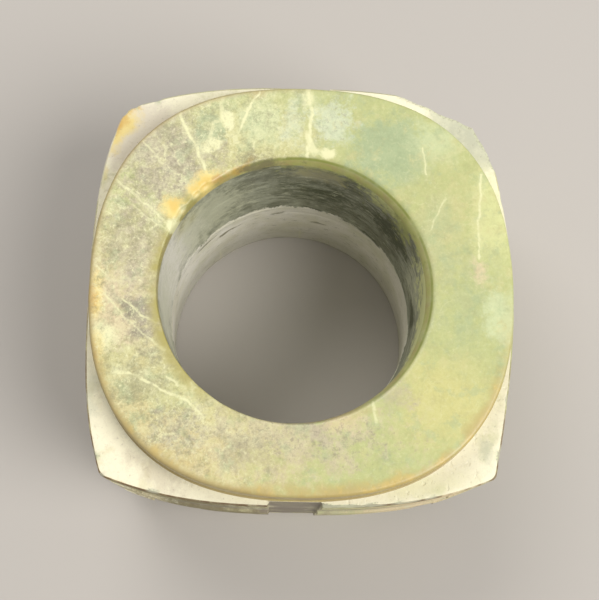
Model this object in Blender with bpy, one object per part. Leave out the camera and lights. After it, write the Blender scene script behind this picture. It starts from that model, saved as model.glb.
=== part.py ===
"""A squat jade cong: a square tube with bowed sides and a nearly round collar at each end.

A wide bore, drilled from both ends, runs through it. A plain upright groove divides each
side, and a face of bands, eyes and a nose bar is carved over each corner, in two tiers.

Frame: metres, +Z up along the bore. The origin is under the middle of the body, on the
plane that the lower collar stands on. The front is -Y. The object is one block of stone.
"""

import math

import bmesh
import bpy
from mathutils import Matrix, Vector

# Overall form of the body
HEIGHT = 0.0466
WIDTH = 0.0794                 # between the middles of the left and right sides
DEPTH = 0.0811                 # between the middles of the front and back
CORNER_CHORD = 0.0700          # from one corner's edge to the next
# 2 bows a side like a parabola, more keeps its middle flatter
SIDE_CURVE_POWER = {"right": 1.6, "back": 2.7, "left": 3.0, "front": 2.8}
SHOULDER_EDGE = 0.0003         # worn edge where the sides meet the shoulders

# Collars: nearly round, drawn out a little towards the corners
COLLAR_HEIGHT = 0.0058
COLLAR_HALF_WIDTH = 0.0385
COLLAR_HALF_DIAGONAL = 0.0409
COLLAR_OFFSET = (-0.0002, -0.0008)
COLLAR_EDGE = 0.0004

# Bore: off centre, a little wider at its ends, with a low ridge where the drillings met
BORE_OFFSET = (-0.0020, -0.0018)
BORE_TOP_RADIUS = 0.0244
BORE_FOOT_RADIUS = 0.0250
RIDGE_RADIUS = 0.0234
RIDGE_Z = 0.0232
RIDGE_SLOPE = 0.0012           # height of the steep slope on either side of the ridge
RIDGE_PROJECTION = 0.0005      # how far that slope stands out of the wall
MOUTH_EDGE = 0.0003            # worn edge of the foot of the bore
LIP_WIDTH = 0.0018             # the upper mouth is rubbed down on one side
LIP_HEIGHT = 0.0016
LIP_DIRECTION = math.radians(25)
BORE_SIDES = 64

# Carving of the sides
PANEL_GROOVE_WIDTH = 0.0094
PANEL_GROOVE_DEPTH = 0.0010
PANEL_GROOVE_SHIFT = {"right": 0.0, "back": 0.0, "left": 0.0, "front": -0.0009}
TIERS = 2
TIER_GROOVE_WIDTH = 0.0013
TIER_GROOVE_DEPTH = 0.0010
BAND_HEIGHT = 0.0021           # two raised bands cross the top of each tier
BAND_GAP = 0.0010
BAND_GAP_DEPTH = 0.0006
FIELD_DEPTH = 0.0005           # the ground of the face, below the bands
CARVED_SLOPE = 0.00018         # run of every carved edge
NOSE_REACH = 0.0064            # the nose bar runs this far along each side from the corner
NOSE_HEIGHT = 0.0027
NOSE_FOOT = 0.0016             # ground left under the nose bar
EYE_FROM_CORNER = 0.0155
EYE_BELOW_BANDS = 0.0046
EYE_RADIUS = 0.0027
PUPIL_RADIUS = 0.0019
EYE_RING_DEPTH = 0.0004
EYE_SIDES = 14
FIELD_COLUMNS = 4              # plain columns of the mesh between a groove and a nose bar

# Wear and damage of the four corners
CORNER_WEAR = {"back_right": 0.0009, "back_left": 0.0021, "front_left": 0.0006, "front_right": 0.0006}
BREAK_DEPTH = 0.0030           # the back right corner has lost its upper end
BREAK_LENGTH = 0.0150
BREAK_FALL = 0.38              # how steeply its face falls back to either side of the corner

JADE_COLOUR = (0.50, 0.50, 0.30, 1.0)
JADE_ROUGHNESS = 0.42

# Worked-out sizes
SIDES = ("right", "back", "left", "front")
CORNERS = ("back_right", "back_left", "front_left", "front_right")
HALF_CHORD = CORNER_CHORD / 2
HALF_ACROSS = {"right": WIDTH / 2, "back": DEPTH / 2, "left": WIDTH / 2, "front": DEPTH / 2}
BODY_BOTTOM = COLLAR_HEIGHT
BODY_TOP = HEIGHT - COLLAR_HEIGHT
TIER_HEIGHT = (BODY_TOP - BODY_BOTTOM - (TIERS - 1) * TIER_GROOVE_WIDTH) / TIERS
BANDS_HEIGHT = 2 * BAND_HEIGHT + BAND_GAP
CUT_DEPTHS = {"band": 0.0, "gap": BAND_GAP_DEPTH, "field": FIELD_DEPTH, "tier": TIER_GROOVE_DEPTH,
              "nose": FIELD_DEPTH, "shoulder": SHOULDER_EDGE}


def on_side(side, out, along):
    """Turns a place on the right side, out and along, to the same place on a named side."""
    for _ in range(SIDES.index(side)):
        out, along = -along, out
    return out, along


def side_bow(side, along):
    """Distance of the uncarved side from the middle of the body."""
    half = HALF_ACROSS[side]
    return half - (half - HALF_CHORD) * (abs(along) / HALF_CHORD) ** SIDE_CURVE_POWER[side]


def side_slope(side, along):
    """Slope of the uncarved side, from one along to the next."""
    power = SIDE_CURVE_POWER[side]
    steepness = (HALF_ACROSS[side] - HALF_CHORD) * power / HALF_CHORD
    return -math.copysign(steepness * (abs(along) / HALF_CHORD) ** (power - 1), along)


def with_shift(side, along):
    """Moves a column of a side with its groove, less and less towards the corners."""
    return along + PANEL_GROOVE_SHIFT[side] * (1 - abs(along) / HALF_CHORD)


def columns(cut):
    """Distances along half a side, from its groove to its nose bar, each with its depth."""
    depth = CUT_DEPTHS[cut]
    nose_depth = 0.0 if cut == "nose" else depth
    groove_edge = PANEL_GROOVE_WIDTH / 2
    nose_end = HALF_CHORD - NOSE_REACH
    groove_floor = groove_edge - CARVED_SLOPE
    found = [(along, PANEL_GROOVE_DEPTH) for along in (groove_floor / 2, groove_floor)]
    found.append((groove_edge, depth))
    for step in range(1, FIELD_COLUMNS + 1):
        found.append((groove_edge + (nose_end - groove_edge) * step / (FIELD_COLUMNS + 1), depth))
    found.append((nose_end - CARVED_SLOPE, depth))
    found.append((nose_end, nose_depth))
    return found, nose_depth


def behind_break(x, y, z):
    """Moves a point that the break has taken from the back right corner onto its face."""
    whole = math.sqrt(2) * HALF_CHORD
    share = min(max((z - (BODY_TOP - BREAK_LENGTH)) / BREAK_LENGTH, 0.0), 1.0)
    face = whole - BREAK_DEPTH * share - BREAK_FALL * abs(x - y) / math.sqrt(2)
    beyond = (x + y) / math.sqrt(2) - face
    if share == 0.0 or beyond <= 0.0:
        return x, y
    return x - beyond / math.sqrt(2), y - beyond / math.sqrt(2)


def body_outline(z, cut):
    """One level of the body, anticlockwise, with the carving's depth at that level."""
    half, corner_depth = columns(cut)
    outline = []
    for number, side in enumerate(SIDES):
        before, after = CORNERS[number - 1], CORNERS[number]
        start = HALF_CHORD - CORNER_WEAR[before] - corner_depth
        end = HALF_CHORD - CORNER_WEAR[after] - corner_depth
        run = [(-start, corner_depth)] + [(-along, depth) for along, depth in reversed(half)]
        run += [(0.0, PANEL_GROOVE_DEPTH)] + half + [(end, corner_depth)]
        run = [(with_shift(side, along), depth) for along, depth in run]
        outline += [on_side(side, side_bow(side, along) - depth, along) for along, depth in run]
        tip = HALF_CHORD - corner_depth - CORNER_WEAR[after] / 3
        outline.append(on_side(side, tip, tip))
    return [(*behind_break(x, y, z), z) for x, y in outline]


def collar_outline(z, inset, body_level):
    """One level of a collar, with a point in line with each point of the body's outline."""
    middle = (COLLAR_HALF_WIDTH + COLLAR_HALF_DIAGONAL) / 2
    swing = (COLLAR_HALF_DIAGONAL - COLLAR_HALF_WIDTH) / 2
    outline = []
    for x, y, _ in body_level:
        angle = math.atan2(y - COLLAR_OFFSET[1], x - COLLAR_OFFSET[0])
        radius = middle - swing * math.cos(4 * angle) - inset
        outline.append((COLLAR_OFFSET[0] + radius * math.cos(angle),
                        COLLAR_OFFSET[1] + radius * math.sin(angle), z))
    return outline


def tier_levels(bottom):
    """Heights of one tier's carved edges from its foot up, each with the cut made there."""
    nose_bottom = bottom + NOSE_FOOT
    nose_top = nose_bottom + NOSE_HEIGHT
    bands_bottom = bottom + TIER_HEIGHT - BANDS_HEIGHT
    gap_bottom = bands_bottom + BAND_HEIGHT
    gap_top = gap_bottom + BAND_GAP
    return [
        (bottom, "field"),
        (nose_bottom - CARVED_SLOPE, "field"),
        (nose_bottom, "nose"),
        (nose_top, "nose"),
        (nose_top + CARVED_SLOPE, "field"),
        (bands_bottom - CARVED_SLOPE, "field"),
        (bands_bottom, "band"),
        (gap_bottom, "band"),
        (gap_bottom + CARVED_SLOPE, "gap"),
        (gap_top - CARVED_SLOPE, "gap"),
        (gap_top, "band"),
    ]


def body_levels():
    """All levels of the body, from the lower shoulder to the upper one."""
    levels = []
    for tier in range(TIERS):
        bottom = BODY_BOTTOM + tier * (TIER_HEIGHT + TIER_GROOVE_WIDTH)
        levels += tier_levels(bottom)
        top = bottom + TIER_HEIGHT
        if tier < TIERS - 1:
            levels += [(top, "band"), (top + CARVED_SLOPE, "tier"),
                       (top + TIER_GROOVE_WIDTH - CARVED_SLOPE, "tier")]
    return levels + [(BODY_TOP - SHOULDER_EDGE, "band"), (BODY_TOP, "shoulder")]


def loft(mesh, rings):
    """Closed solid through rings of equal length, lowest first, each anticlockwise."""
    rows = [[mesh.verts.new(point) for point in ring] for ring in rings]
    for lower, upper in zip(rows, rows[1:]):
        for index in range(len(lower)):
            following = (index + 1) % len(lower)
            mesh.faces.new((lower[index], lower[following], upper[following], upper[index]))
    mesh.faces.new(reversed(rows[0]))
    mesh.faces.new(rows[-1])


def make_object(name, mesh):
    """Puts a mesh into the scene as a named object at the origin."""
    data = bpy.data.meshes.new(name)
    mesh.to_mesh(data)
    mesh.free()
    made = bpy.data.objects.new(name, data)
    bpy.context.scene.collection.objects.link(made)
    return made


def jade_material():
    """Pale yellow-green stone, softly polished."""
    material = bpy.data.materials.new("jade")
    material.use_nodes = True
    shader = material.node_tree.nodes["Principled BSDF"]
    shader.inputs["Base Color"].default_value = JADE_COLOUR
    shader.inputs["Roughness"].default_value = JADE_ROUGHNESS
    shader.inputs["Metallic"].default_value = 0.0
    return material


def make_block():
    """The carved body and its two collars, before the bore and the eyes are cut."""
    body = [body_outline(z, cut) for z, cut in body_levels()]
    lower, upper = body[0], body[-1]
    rings = [
        collar_outline(0.0, COLLAR_EDGE, lower),
        collar_outline(COLLAR_EDGE, 0.0, lower),
        collar_outline(BODY_BOTTOM, 0.0, lower),
        *body,
        collar_outline(BODY_TOP, 0.0, upper),
        collar_outline(HEIGHT - COLLAR_EDGE, 0.0, upper),
        collar_outline(HEIGHT, COLLAR_EDGE, upper),
    ]
    mesh = bmesh.new()
    loft(mesh, rings)
    return make_object("jade_cong", mesh)


def bore_ring(z, radius, rub=0.0):
    """One round level of the bore; rub draws it out to the side where the lip is worn."""
    centre_x = BORE_OFFSET[0] + rub / 2 * math.cos(LIP_DIRECTION)
    centre_y = BORE_OFFSET[1] + rub / 2 * math.sin(LIP_DIRECTION)
    angles = [2 * math.pi * step / BORE_SIDES for step in range(BORE_SIDES)]
    return [(centre_x + (radius + rub / 2) * math.cos(angle),
             centre_y + (radius + rub / 2) * math.sin(angle), z) for angle in angles]


def make_bore_cutter():
    """The two drillings, the ridge between them and the rubbed lip, as one solid to cut away."""
    beyond = COLLAR_HEIGHT / 2
    mesh = bmesh.new()
    loft(mesh, [
        bore_ring(-beyond, BORE_FOOT_RADIUS + MOUTH_EDGE + beyond),
        bore_ring(MOUTH_EDGE, BORE_FOOT_RADIUS),
        bore_ring(RIDGE_Z - RIDGE_SLOPE, RIDGE_RADIUS + RIDGE_PROJECTION),
        bore_ring(RIDGE_Z, RIDGE_RADIUS),
        bore_ring(RIDGE_Z + RIDGE_SLOPE, RIDGE_RADIUS + RIDGE_PROJECTION),
        bore_ring(HEIGHT - LIP_HEIGHT, BORE_TOP_RADIUS),
        bore_ring(HEIGHT - LIP_HEIGHT / 3, BORE_TOP_RADIUS, LIP_WIDTH / 2),
        bore_ring(HEIGHT, BORE_TOP_RADIUS, LIP_WIDTH),
        bore_ring(HEIGHT + beyond, BORE_TOP_RADIUS, LIP_WIDTH),
    ])
    return make_object("bore_cutter", mesh)


def eye_placement(side, along, z):
    """Turns a tool's own +Z to point out of the ground of a side at a place on it."""
    x, y = on_side(side, side_bow(side, along) - FIELD_DEPTH, along)
    out_x, out_y = on_side(side, 1.0, -side_slope(side, along))
    facing = Vector((out_x, out_y, 0.0)).to_track_quat("Z", "Y").to_matrix().to_4x4()
    return Matrix.Translation((x, y, z)) @ facing


def add_eye_ring(mesh, placement):
    """One ring-shaped tool that cuts the groove between an eye's pupil and its rim."""
    floor, clear = -EYE_RING_DEPTH, 4 * EYE_RING_DEPTH
    section = ((PUPIL_RADIUS, floor), (EYE_RADIUS, floor), (EYE_RADIUS, clear), (PUPIL_RADIUS, clear))
    rows = []
    for step in range(EYE_SIDES):
        angle = 2 * math.pi * step / EYE_SIDES
        spoke = [Vector((r * math.cos(angle), r * math.sin(angle), z)) for r, z in section]
        rows.append([mesh.verts.new(placement @ point) for point in spoke])
    for row, following in zip(rows, rows[1:] + rows[:1]):
        for index in range(len(section)):
            nxt = (index + 1) % len(section)
            mesh.faces.new((row[index], following[index], following[nxt], row[nxt]))


def make_eye_cutter():
    """The eye rings of every face: one on either side of each corner, in each tier."""
    mesh = bmesh.new()
    along = HALF_CHORD - EYE_FROM_CORNER
    for tier in range(TIERS):
        tier_top = BODY_BOTTOM + tier * (TIER_HEIGHT + TIER_GROOVE_WIDTH) + TIER_HEIGHT
        eye_z = tier_top - BANDS_HEIGHT - EYE_BELOW_BANDS
        for side in SIDES:
            add_eye_ring(mesh, eye_placement(side, along, eye_z))
            add_eye_ring(mesh, eye_placement(side, -along, eye_z))
    bmesh.ops.recalc_face_normals(mesh, faces=mesh.faces)
    return make_object("eye_cutter", mesh)


def cut_away(target, cutter):
    """Subtracts a cutter from the target and keeps it out of the finished part."""
    cutter.hide_render = True
    cutter.display_type = "WIRE"
    cut = target.modifiers.new(cutter.name, "BOOLEAN")
    cut.operation = "DIFFERENCE"
    cut.solver = "EXACT"
    cut.object = cutter


def main():
    """Clears the scene and builds the cong."""
    for old in list(bpy.data.objects):
        bpy.data.objects.remove(old, do_unlink=True)
    cong = make_block()
    cong.data.materials.append(jade_material())
    cut_away(cong, make_bore_cutter())
    cut_away(cong, make_eye_cutter())


main()
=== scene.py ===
"""Looks of a squat jade cong: its worn carving, its drilled bore, and the stone's colours.

One fine carving replaces the plain solid of the CAD frame and keeps its form. Every size and
place is in millimetres in the frame's own axes: +Z up along the bore, the front at -Y. Metres
are used only where a mesh, a light or the camera is handed to Blender.
"""

import logging
import math
from collections.abc import Iterable, Sequence
from dataclasses import dataclass, field
from enum import Enum, IntEnum
from functools import reduce

import bmesh
import bpy
import numpy as np
from mathutils import Matrix, Vector, kdtree, noise
from mathutils.geometry import delaunay_2d_cdt


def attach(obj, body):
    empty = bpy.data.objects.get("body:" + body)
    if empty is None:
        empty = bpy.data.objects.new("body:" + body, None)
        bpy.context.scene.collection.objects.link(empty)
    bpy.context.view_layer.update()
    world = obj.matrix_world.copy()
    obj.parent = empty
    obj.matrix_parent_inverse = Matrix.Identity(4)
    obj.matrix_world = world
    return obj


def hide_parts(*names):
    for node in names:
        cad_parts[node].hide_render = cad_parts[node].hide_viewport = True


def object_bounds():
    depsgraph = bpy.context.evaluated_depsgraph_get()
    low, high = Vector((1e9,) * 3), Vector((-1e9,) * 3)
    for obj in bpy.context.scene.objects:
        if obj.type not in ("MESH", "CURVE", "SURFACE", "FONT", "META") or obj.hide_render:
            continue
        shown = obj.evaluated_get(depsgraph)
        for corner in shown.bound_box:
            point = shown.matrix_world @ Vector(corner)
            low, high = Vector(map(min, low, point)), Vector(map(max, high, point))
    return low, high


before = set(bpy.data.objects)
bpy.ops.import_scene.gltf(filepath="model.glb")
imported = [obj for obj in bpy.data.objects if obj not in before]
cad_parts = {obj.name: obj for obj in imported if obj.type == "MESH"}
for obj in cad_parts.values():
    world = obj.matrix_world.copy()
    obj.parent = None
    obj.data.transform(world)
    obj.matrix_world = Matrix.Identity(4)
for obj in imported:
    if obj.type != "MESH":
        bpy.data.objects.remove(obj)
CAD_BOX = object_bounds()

MM = 0.001
NODE = "jade_cong"
# Points that are closer than this many metres become one.
WELD = 0.000002
# Shares of a carved edge's width at which the mesh has points across it.
EDGE_SHARES = (-0.9, -0.45, 0.0, 0.45, 0.9)
SHARP_ANGLE = math.radians(50)
# How strongly the stone's surface reflects, and how much rougher a vein is than the rest.
STONE_IOR = 1.6
VEIN_DULLING = 0.1
# How much brighter the studio shows a tone than even daylight does.
STUDIO_LEVEL = 1.12
# Direction, in degrees, in which the stone's pattern is strongest.
LIVELY_TURN = 175.0
# Height of the middle of a patch that goes all through the stone, and its reach up and down.
HALF_WAY_UP = 23.3
ALL_THROUGH = 200.0
# Factors that keep a place level, and the middle of a noise's colour.
LEVEL = (1.0, 1.0, 0.0)
MIDDLE = (0.5, 0.5, 0.5)

log = logging.getLogger("cong")

Array = np.ndarray
Point = tuple[float, float, float]
Socket = bpy.types.NodeSocket
Outputs = bpy.types.NodeOutputs
Tree = bpy.types.NodeTree


def linear_light(tone: str) -> tuple[float, float, float, float]:
    """Turns a screen colour, six hexadecimal digits, into linear light by the usual curve."""
    parts = [int(tone[start:start + 2], 16) / 255 for start in (0, 2, 4)]
    linear = [part / 12.92 if part <= 0.04045 else ((part + 0.055) / 1.055) ** 2.4 for part in parts]
    return (*linear, 1.0)


def add_object(name: str, data: bpy.types.ID) -> bpy.types.Object:
    """Makes an object and puts it into the scene."""
    made = bpy.data.objects.new(name, data)
    bpy.context.scene.collection.objects.link(made)
    return made


class Corner(IntEnum):
    """The corners, anticlockwise from above. Each is named for the photo's own sides."""

    BACK_RIGHT = 0
    BACK_LEFT = 1
    FRONT_LEFT = 2
    FRONT_RIGHT = 3


class Zone(IntEnum):
    """Surfaces of the stone with a finish of their own, in the order of its material slots."""

    POLISHED = 0
    SHOULDER = 1
    CARVED = 2
    BORE = 3
    FOOT = 4


class Tone(Enum):
    """Colours of the stone and of what has settled on it, as they look in even daylight."""

    SPRING = "bec383"
    PALE_SPRING = "dee09f"
    CELADON = "a9b88b"
    PALE_CELADON = "d2dbaa"
    FROST = "d6e0c3"
    STRAW = "cfc98d"
    CREAM = "f0eebb"
    SAND = "d8c892"
    ROSE_SAND = "e2cda6"
    DRAB = "aaa480"
    LAVENDER = "b5a99a"
    PEAT = "8d8272"
    SOOT = "837e5c"
    GREIGE = "cbbda4"
    HONEY = "f3dc88"
    OCHRE = "d6a94e"
    AMBER = "bfa968"
    SAFFRON = "eac766"
    TAWNY = "b3a06c"
    OLD_GOLD = "b3a962"
    RUST = "b98a4a"
    BROWN = "6d5029"
    OLIVE = "8f9740"
    MOSS = "464c2e"
    SLATE = "5c5d4e"
    SHADOW_GREEN = "74765f"
    ASH = "aeb09c"
    PALE_ASH = "f7f3e7"
    LICHEN = "b7bb6c"
    CHALK = "fff9db"
    CHALK_GREY = "cfd0b4"
    PEARL = "e6dcc6"

    @property
    def rgba(self) -> tuple[float, float, float, float]:
        """The tone for a shader's colour socket, made darker by what the studio's light adds."""
        linear = linear_light(self.value)
        return (*(part / STUDIO_LEVEL for part in linear[:3]), 1.0)


Feed = Socket | Tone | float | int | bool | str | Sequence[float]
# A ring's points, and the zone of the faces between it and the ring before it.
Ring = tuple[Array, Zone]


def ramp(value: Array, middle: float, run: float) -> Array:
    """Rises smoothly from 0 to 1 around a value.

    Args:
        value: Numbers to place on the ramp.
        middle: Where the ramp is halfway up.
        run: Width of the ramp.

    Returns:
        A share from 0 to 1 for each number.
    """
    share = np.clip((value - middle) / run + 0.5, 0.0, 1.0)
    return share * share * (3 - 2 * share)


def between(value: Array, low: float, high: float, run: float) -> Array:
    """Is 1 between two values and 0 outside them, with smooth edges of one width."""
    return ramp(value, low, run) - ramp(value, high, run)


def spaced(values: Iterable[float], gap: float) -> list[float]:
    """Sorts numbers and leaves out each one that is closer than a gap to the one before it."""
    kept: list[float] = []
    for value in sorted(values):
        if not kept or value - kept[-1] >= gap:
            kept.append(value)
    return kept


def steps(low: float, high: float, pitch: float) -> list[float]:
    """Even steps from low to high, both counted, no further apart than a pitch."""
    count = max(1, math.ceil((high - low) / pitch))
    return [low + (high - low) * index / count for index in range(count + 1)]


def rough(places: Array, size: float, seed: int) -> Array:
    """Smooth random heights over a set of places.

    Args:
        places: Points in millimetres, one to a row.
        size: Size of the random lumps, in millimetres.
        seed: Picks another field of lumps.

    Returns:
        A height from about -1 to 1 for each point.
    """
    shift = Vector((17.3 * seed, -9.1 * seed, 4.7 * seed))
    return np.array([noise.noise(Vector(place) / size + shift) for place in places.tolist()])


@dataclass(frozen=True)
class Body:
    """The square tube between the collars: bowed sides, worn corners and carved registers.

    A place on it is given by a corner, a walk along the outline that is 0 at that corner and
    grows anticlockwise, and a height. A size with four numbers has one for each side, from the
    right one on, or for each corner.
    """

    bottom: float = 5.8
    top: float = 40.8
    half_across: tuple[float, ...] = (39.7, 40.55, 39.7, 40.55)
    bow_power: tuple[float, ...] = (1.6, 2.7, 3.0, 2.8)
    half_chord: float = 35.0
    corner_reach: tuple[float, ...] = (0.0, 0.0, 0.5, 0.0)
    corner_wear: tuple[float, ...] = (0.9, 2.4, 0.7, 0.6)
    corner_run: float = 3.0
    edge: float = 0.35
    groove_half: float = 4.7
    groove_depth: float = 1.0
    groove_shift: tuple[float, ...] = (0.0, 0.0, 0.0, -0.9)
    tiers: int = 2
    tier_groove: float = 1.3
    tier_groove_depth: float = 1.0
    band: float = 2.1
    bands: int = 2
    gap: float = 1.0
    gap_depth: float = 0.6
    field_depth: float = 0.5
    slope: float = 0.26
    nose_reach: float = 6.4
    nose_height: float = 2.7
    nose_foot: float = 1.6
    eye_from_corner: float = 15.5
    eye_below_bands: float = 4.6
    eye_radius: float = 2.7
    pupil_radius: float = 1.9
    ring_depth: float = 0.4
    lines_in_band: int = 4

    @property
    def tier_height(self) -> float:
        """Height of one tier, without the groove above it."""
        return (self.top - self.bottom - (self.tiers - 1) * self.tier_groove) / self.tiers

    @property
    def tier_step(self) -> float:
        """Height from one tier's foot to the next one's."""
        return self.tier_height + self.tier_groove

    @property
    def bands_height(self) -> float:
        """Height of a tier's raised bands and the gap between them."""
        return self.bands * self.band + (self.bands - 1) * self.gap

    @property
    def line_step(self) -> float:
        """Height from one incised line of a band to the next."""
        return self.band / (self.lines_in_band + 1)

    @property
    def tier_feet(self) -> list[float]:
        """Height of the foot of each tier."""
        return [self.bottom + tier * self.tier_step for tier in range(self.tiers)]

    def bands_foot(self, foot: float) -> float:
        """Height at which the raised bands begin in the tier that has this foot."""
        return foot + self.tier_height - self.bands_height

    def eye_height(self, foot: float) -> float:
        """Height of the eyes of the tier that has this foot."""
        return self.bands_foot(foot) - self.eye_below_bands

    def flank(self, corner: int, past: bool, near: Array, depth: Array) -> Array:
        """Places on one of the two sides that meet at a corner.

        Args:
            corner: The corner's number.
            past: Whether the side comes after the corner.
            near: Distances from the corner, along the side.
            depth: How deep the carving is at each place.

        Returns:
            Places seen from above, as complex numbers x + iy.
        """
        side = (corner + past) % len(Corner)
        reach = self.half_chord + self.corner_reach[corner]
        inward = np.clip((self.corner_run - near) / (self.corner_run - self.corner_wear[corner]), 0, 1)
        along = reach * (1 - (near + depth * inward) / self.half_chord)
        along = -along if past else along
        along = along + self.groove_shift[side] * (1 - np.abs(along) / reach)
        half = self.half_across[side]
        out = half - (half - reach) * (np.abs(along) / reach) ** self.bow_power[side] - depth
        return (out + 1j * along) * 1j ** side

    def place(self, corner: int, walk: Array, depth: Array) -> Array:
        """Places on the outline around one corner, which is rounded by wear.

        Args:
            corner: The corner's number.
            walk: Walks along the outline, negative before the corner.
            depth: How deep the carving is at each place.

        Returns:
            Places seen from above, as complex numbers x + iy.
        """
        wear = self.corner_wear[corner]
        near = np.abs(walk)
        outside = np.maximum(near, wear)
        before, after = (self.flank(corner, past, outside, depth) for past in (False, True))
        start, end = (self.flank(corner, past, np.full_like(near, wear), depth) for past in (False, True))
        share = np.clip((walk + wear) / (2 * wear), 0, 1)
        tip = (self.half_chord + self.corner_reach[corner] - depth) * (1 + 1j) * 1j ** corner
        rounded = (1 - share) ** 2 * start + 2 * share * (1 - share) * tip + share ** 2 * end
        return np.where(near < wear, rounded, np.where(walk < 0, before, after))

    def groove_share(self, walk: Array) -> Array:
        """Is 1 in the upright groove in the middle of each side and 0 beside it."""
        return 1 - ramp(self.half_chord - np.abs(walk), self.groove_half, self.slope)

    def relief(self, walk: Array, height: Array) -> Array:
        """How deep the carving is cut.

        Args:
            walk: Walks along the outline from the nearest corner.
            height: Heights on the side.

        Returns:
            Depths below the raised bands.
        """
        depth = np.zeros_like(walk)
        near = np.abs(walk)
        for foot in self.tier_feet:
            bands_foot = self.bands_foot(foot)
            nose_foot = foot + self.nose_foot
            nose = between(height, nose_foot, nose_foot + self.nose_height, self.slope)
            nose = nose * (1 - ramp(near, self.nose_reach, self.slope))
            ground = between(height, foot, bands_foot, self.slope)
            if foot == self.bottom:
                ground = 1 - ramp(height, bands_foot, self.slope)
            depth = np.maximum(depth, self.field_depth * ground * (1 - nose))
            for gap in range(1, self.bands):
                gap_foot = bands_foot + gap * self.band + (gap - 1) * self.gap
                cut = between(height, gap_foot, gap_foot + self.gap, self.slope)
                depth = np.maximum(depth, self.gap_depth * cut)
            from_eye = np.hypot(near - self.eye_from_corner, height - self.eye_height(foot))
            ring = between(from_eye, self.pupil_radius, self.eye_radius, self.slope)
            depth = depth + self.ring_depth * ring
            tier_top = foot + self.tier_height
            if foot != self.tier_feet[-1]:
                cut = between(height, tier_top, tier_top + self.tier_groove, self.slope)
                depth = np.maximum(depth, self.tier_groove_depth * cut)
        return np.maximum(depth, self.groove_depth * self.groove_share(walk))


@dataclass(frozen=True)
class Collar:
    """The nearly round ends of the tube, drawn out a little towards the corners."""

    half_width: float = 38.5
    half_diagonal: float = 40.9
    centre: complex = -0.2 - 0.8j
    edge: float = 0.7
    foot_curve: float = 0.3

    def place(self, angle: Array) -> Array:
        """Places on its outline at these angles about its centre, seen from above."""
        middle = (self.half_width + self.half_diagonal) / 2
        swing = (self.half_diagonal - self.half_width) / 2
        return self.centre + (middle - swing * np.cos(4 * angle)) * np.exp(1j * angle)


@dataclass(frozen=True)
class Bore:
    """The hole, drilled from both ends: two slightly tapered drillings that meet at a ridge."""

    centre: complex = -2.0 - 1.8j
    top_radius: float = 24.4
    foot_radius: float = 25.0
    ridge_radius: float = 23.8
    ridge_height: float = 23.2
    ridge_slope: float = 1.2
    ridge_projection: float = 0.1
    ridge_wander: float = 0.55
    ridge_turn: float = 0.6
    crest_power: float = 1.4
    mouth_edge: float = 0.35
    lip_width: float = 1.8
    lip_height: float = 3.0
    lip_direction: float = math.radians(25)
    drill_lines: int = 12
    drill_depth: float = 0.11
    drill_half: float = 0.2
    drill_seed: int = 3

    def radius(self, angle: Array, height: float, full: float) -> Array:
        """Distance of the wall from the bore's middle line.

        Args:
            angle: Angles around the bore.
            height: One height.
            full: Height of the upper mouth.

        Returns:
            A radius for each angle.
        """
        ridge = self.ridge_height + self.ridge_wander * np.sin(2 * angle + self.ridge_turn)
        ridge = ridge + self.ridge_wander / 2 * np.sin(5 * angle)
        foot_wall = self.ridge_radius + self.ridge_projection
        above = foot_wall + (self.top_radius - foot_wall) * (height - ridge) / (full - ridge)
        below = foot_wall + (self.foot_radius - foot_wall) * (ridge - height) / ridge
        wall = np.where(height > ridge, above, below)
        crest = np.clip(1 - np.abs(height - ridge) / self.ridge_slope, 0, 1)
        rub = min(1.0, max(0.0, (height - full + self.lip_height) / self.lip_height))
        rub = (rub ** 2 + 1 - math.sqrt(1 - rub ** 2)) / 2
        lip = self.lip_width / 2 * (1 + np.cos(angle - self.lip_direction)) * rub
        past_edge = max(height - full + self.mouth_edge, self.mouth_edge - height, 0.0) / self.mouth_edge
        rounding = self.mouth_edge * (1 - math.sqrt(max(0.0, 1 - past_edge ** 2)))
        return wall - self.ridge_projection * crest ** self.crest_power + lip + rounding


@dataclass(frozen=True)
class BrokenCorner:
    """The back right corner, which has lost its upper end: a rough face that falls away."""

    depth: float = 3.0
    length: float = 15.0
    curve: float = 0.8
    fall: float = 0.38
    reach_from: float = 38.0
    half_across: float = 18.0
    lump: float = 0.4
    lump_size: float = 3.2
    grit: float = 0.03
    grit_size: float = 0.9
    rough_run: float = 0.35
    fade_in: float = 4.0

    def strip(self, places: Array, body: Body) -> tuple[Array, Array]:
        """Moves what the break has taken back onto its face.

        Args:
            places: Points in millimetres, one to a row.
            body: The body that is broken.

        Returns:
            The moved points, and how broken the surface is at each, from 0 to 1.
        """
        spot = places.copy()
        share = np.clip((spot[:, 2] - body.top + self.length) / self.length, 0, 1)
        across = (spot[:, 0] - spot[:, 1]) / math.sqrt(2)
        reach = (spot[:, 0] + spot[:, 1]) / math.sqrt(2)
        near = (share > 0) & (reach > self.reach_from) & (np.abs(across) < self.half_across)
        uneven = np.zeros(len(spot))
        uneven[near] = self.lump * rough(spot[near], self.lump_size, 1)
        uneven[near] += self.grit * rough(spot[near], self.grit_size, 2)
        sunk = self.depth * share ** self.curve
        face = math.sqrt(2) * body.half_chord - sunk - self.fall * np.abs(across)
        beyond = np.where(near, reach - face - uneven * np.minimum(1, self.fade_in * share), 0.0)
        move = np.maximum(beyond, 0.0) / math.sqrt(2)
        spot[:, 0] -= move
        spot[:, 1] -= move
        return spot, np.where(near, np.clip(1 + beyond / self.rough_run, 0, 1), 0.0)


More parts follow.
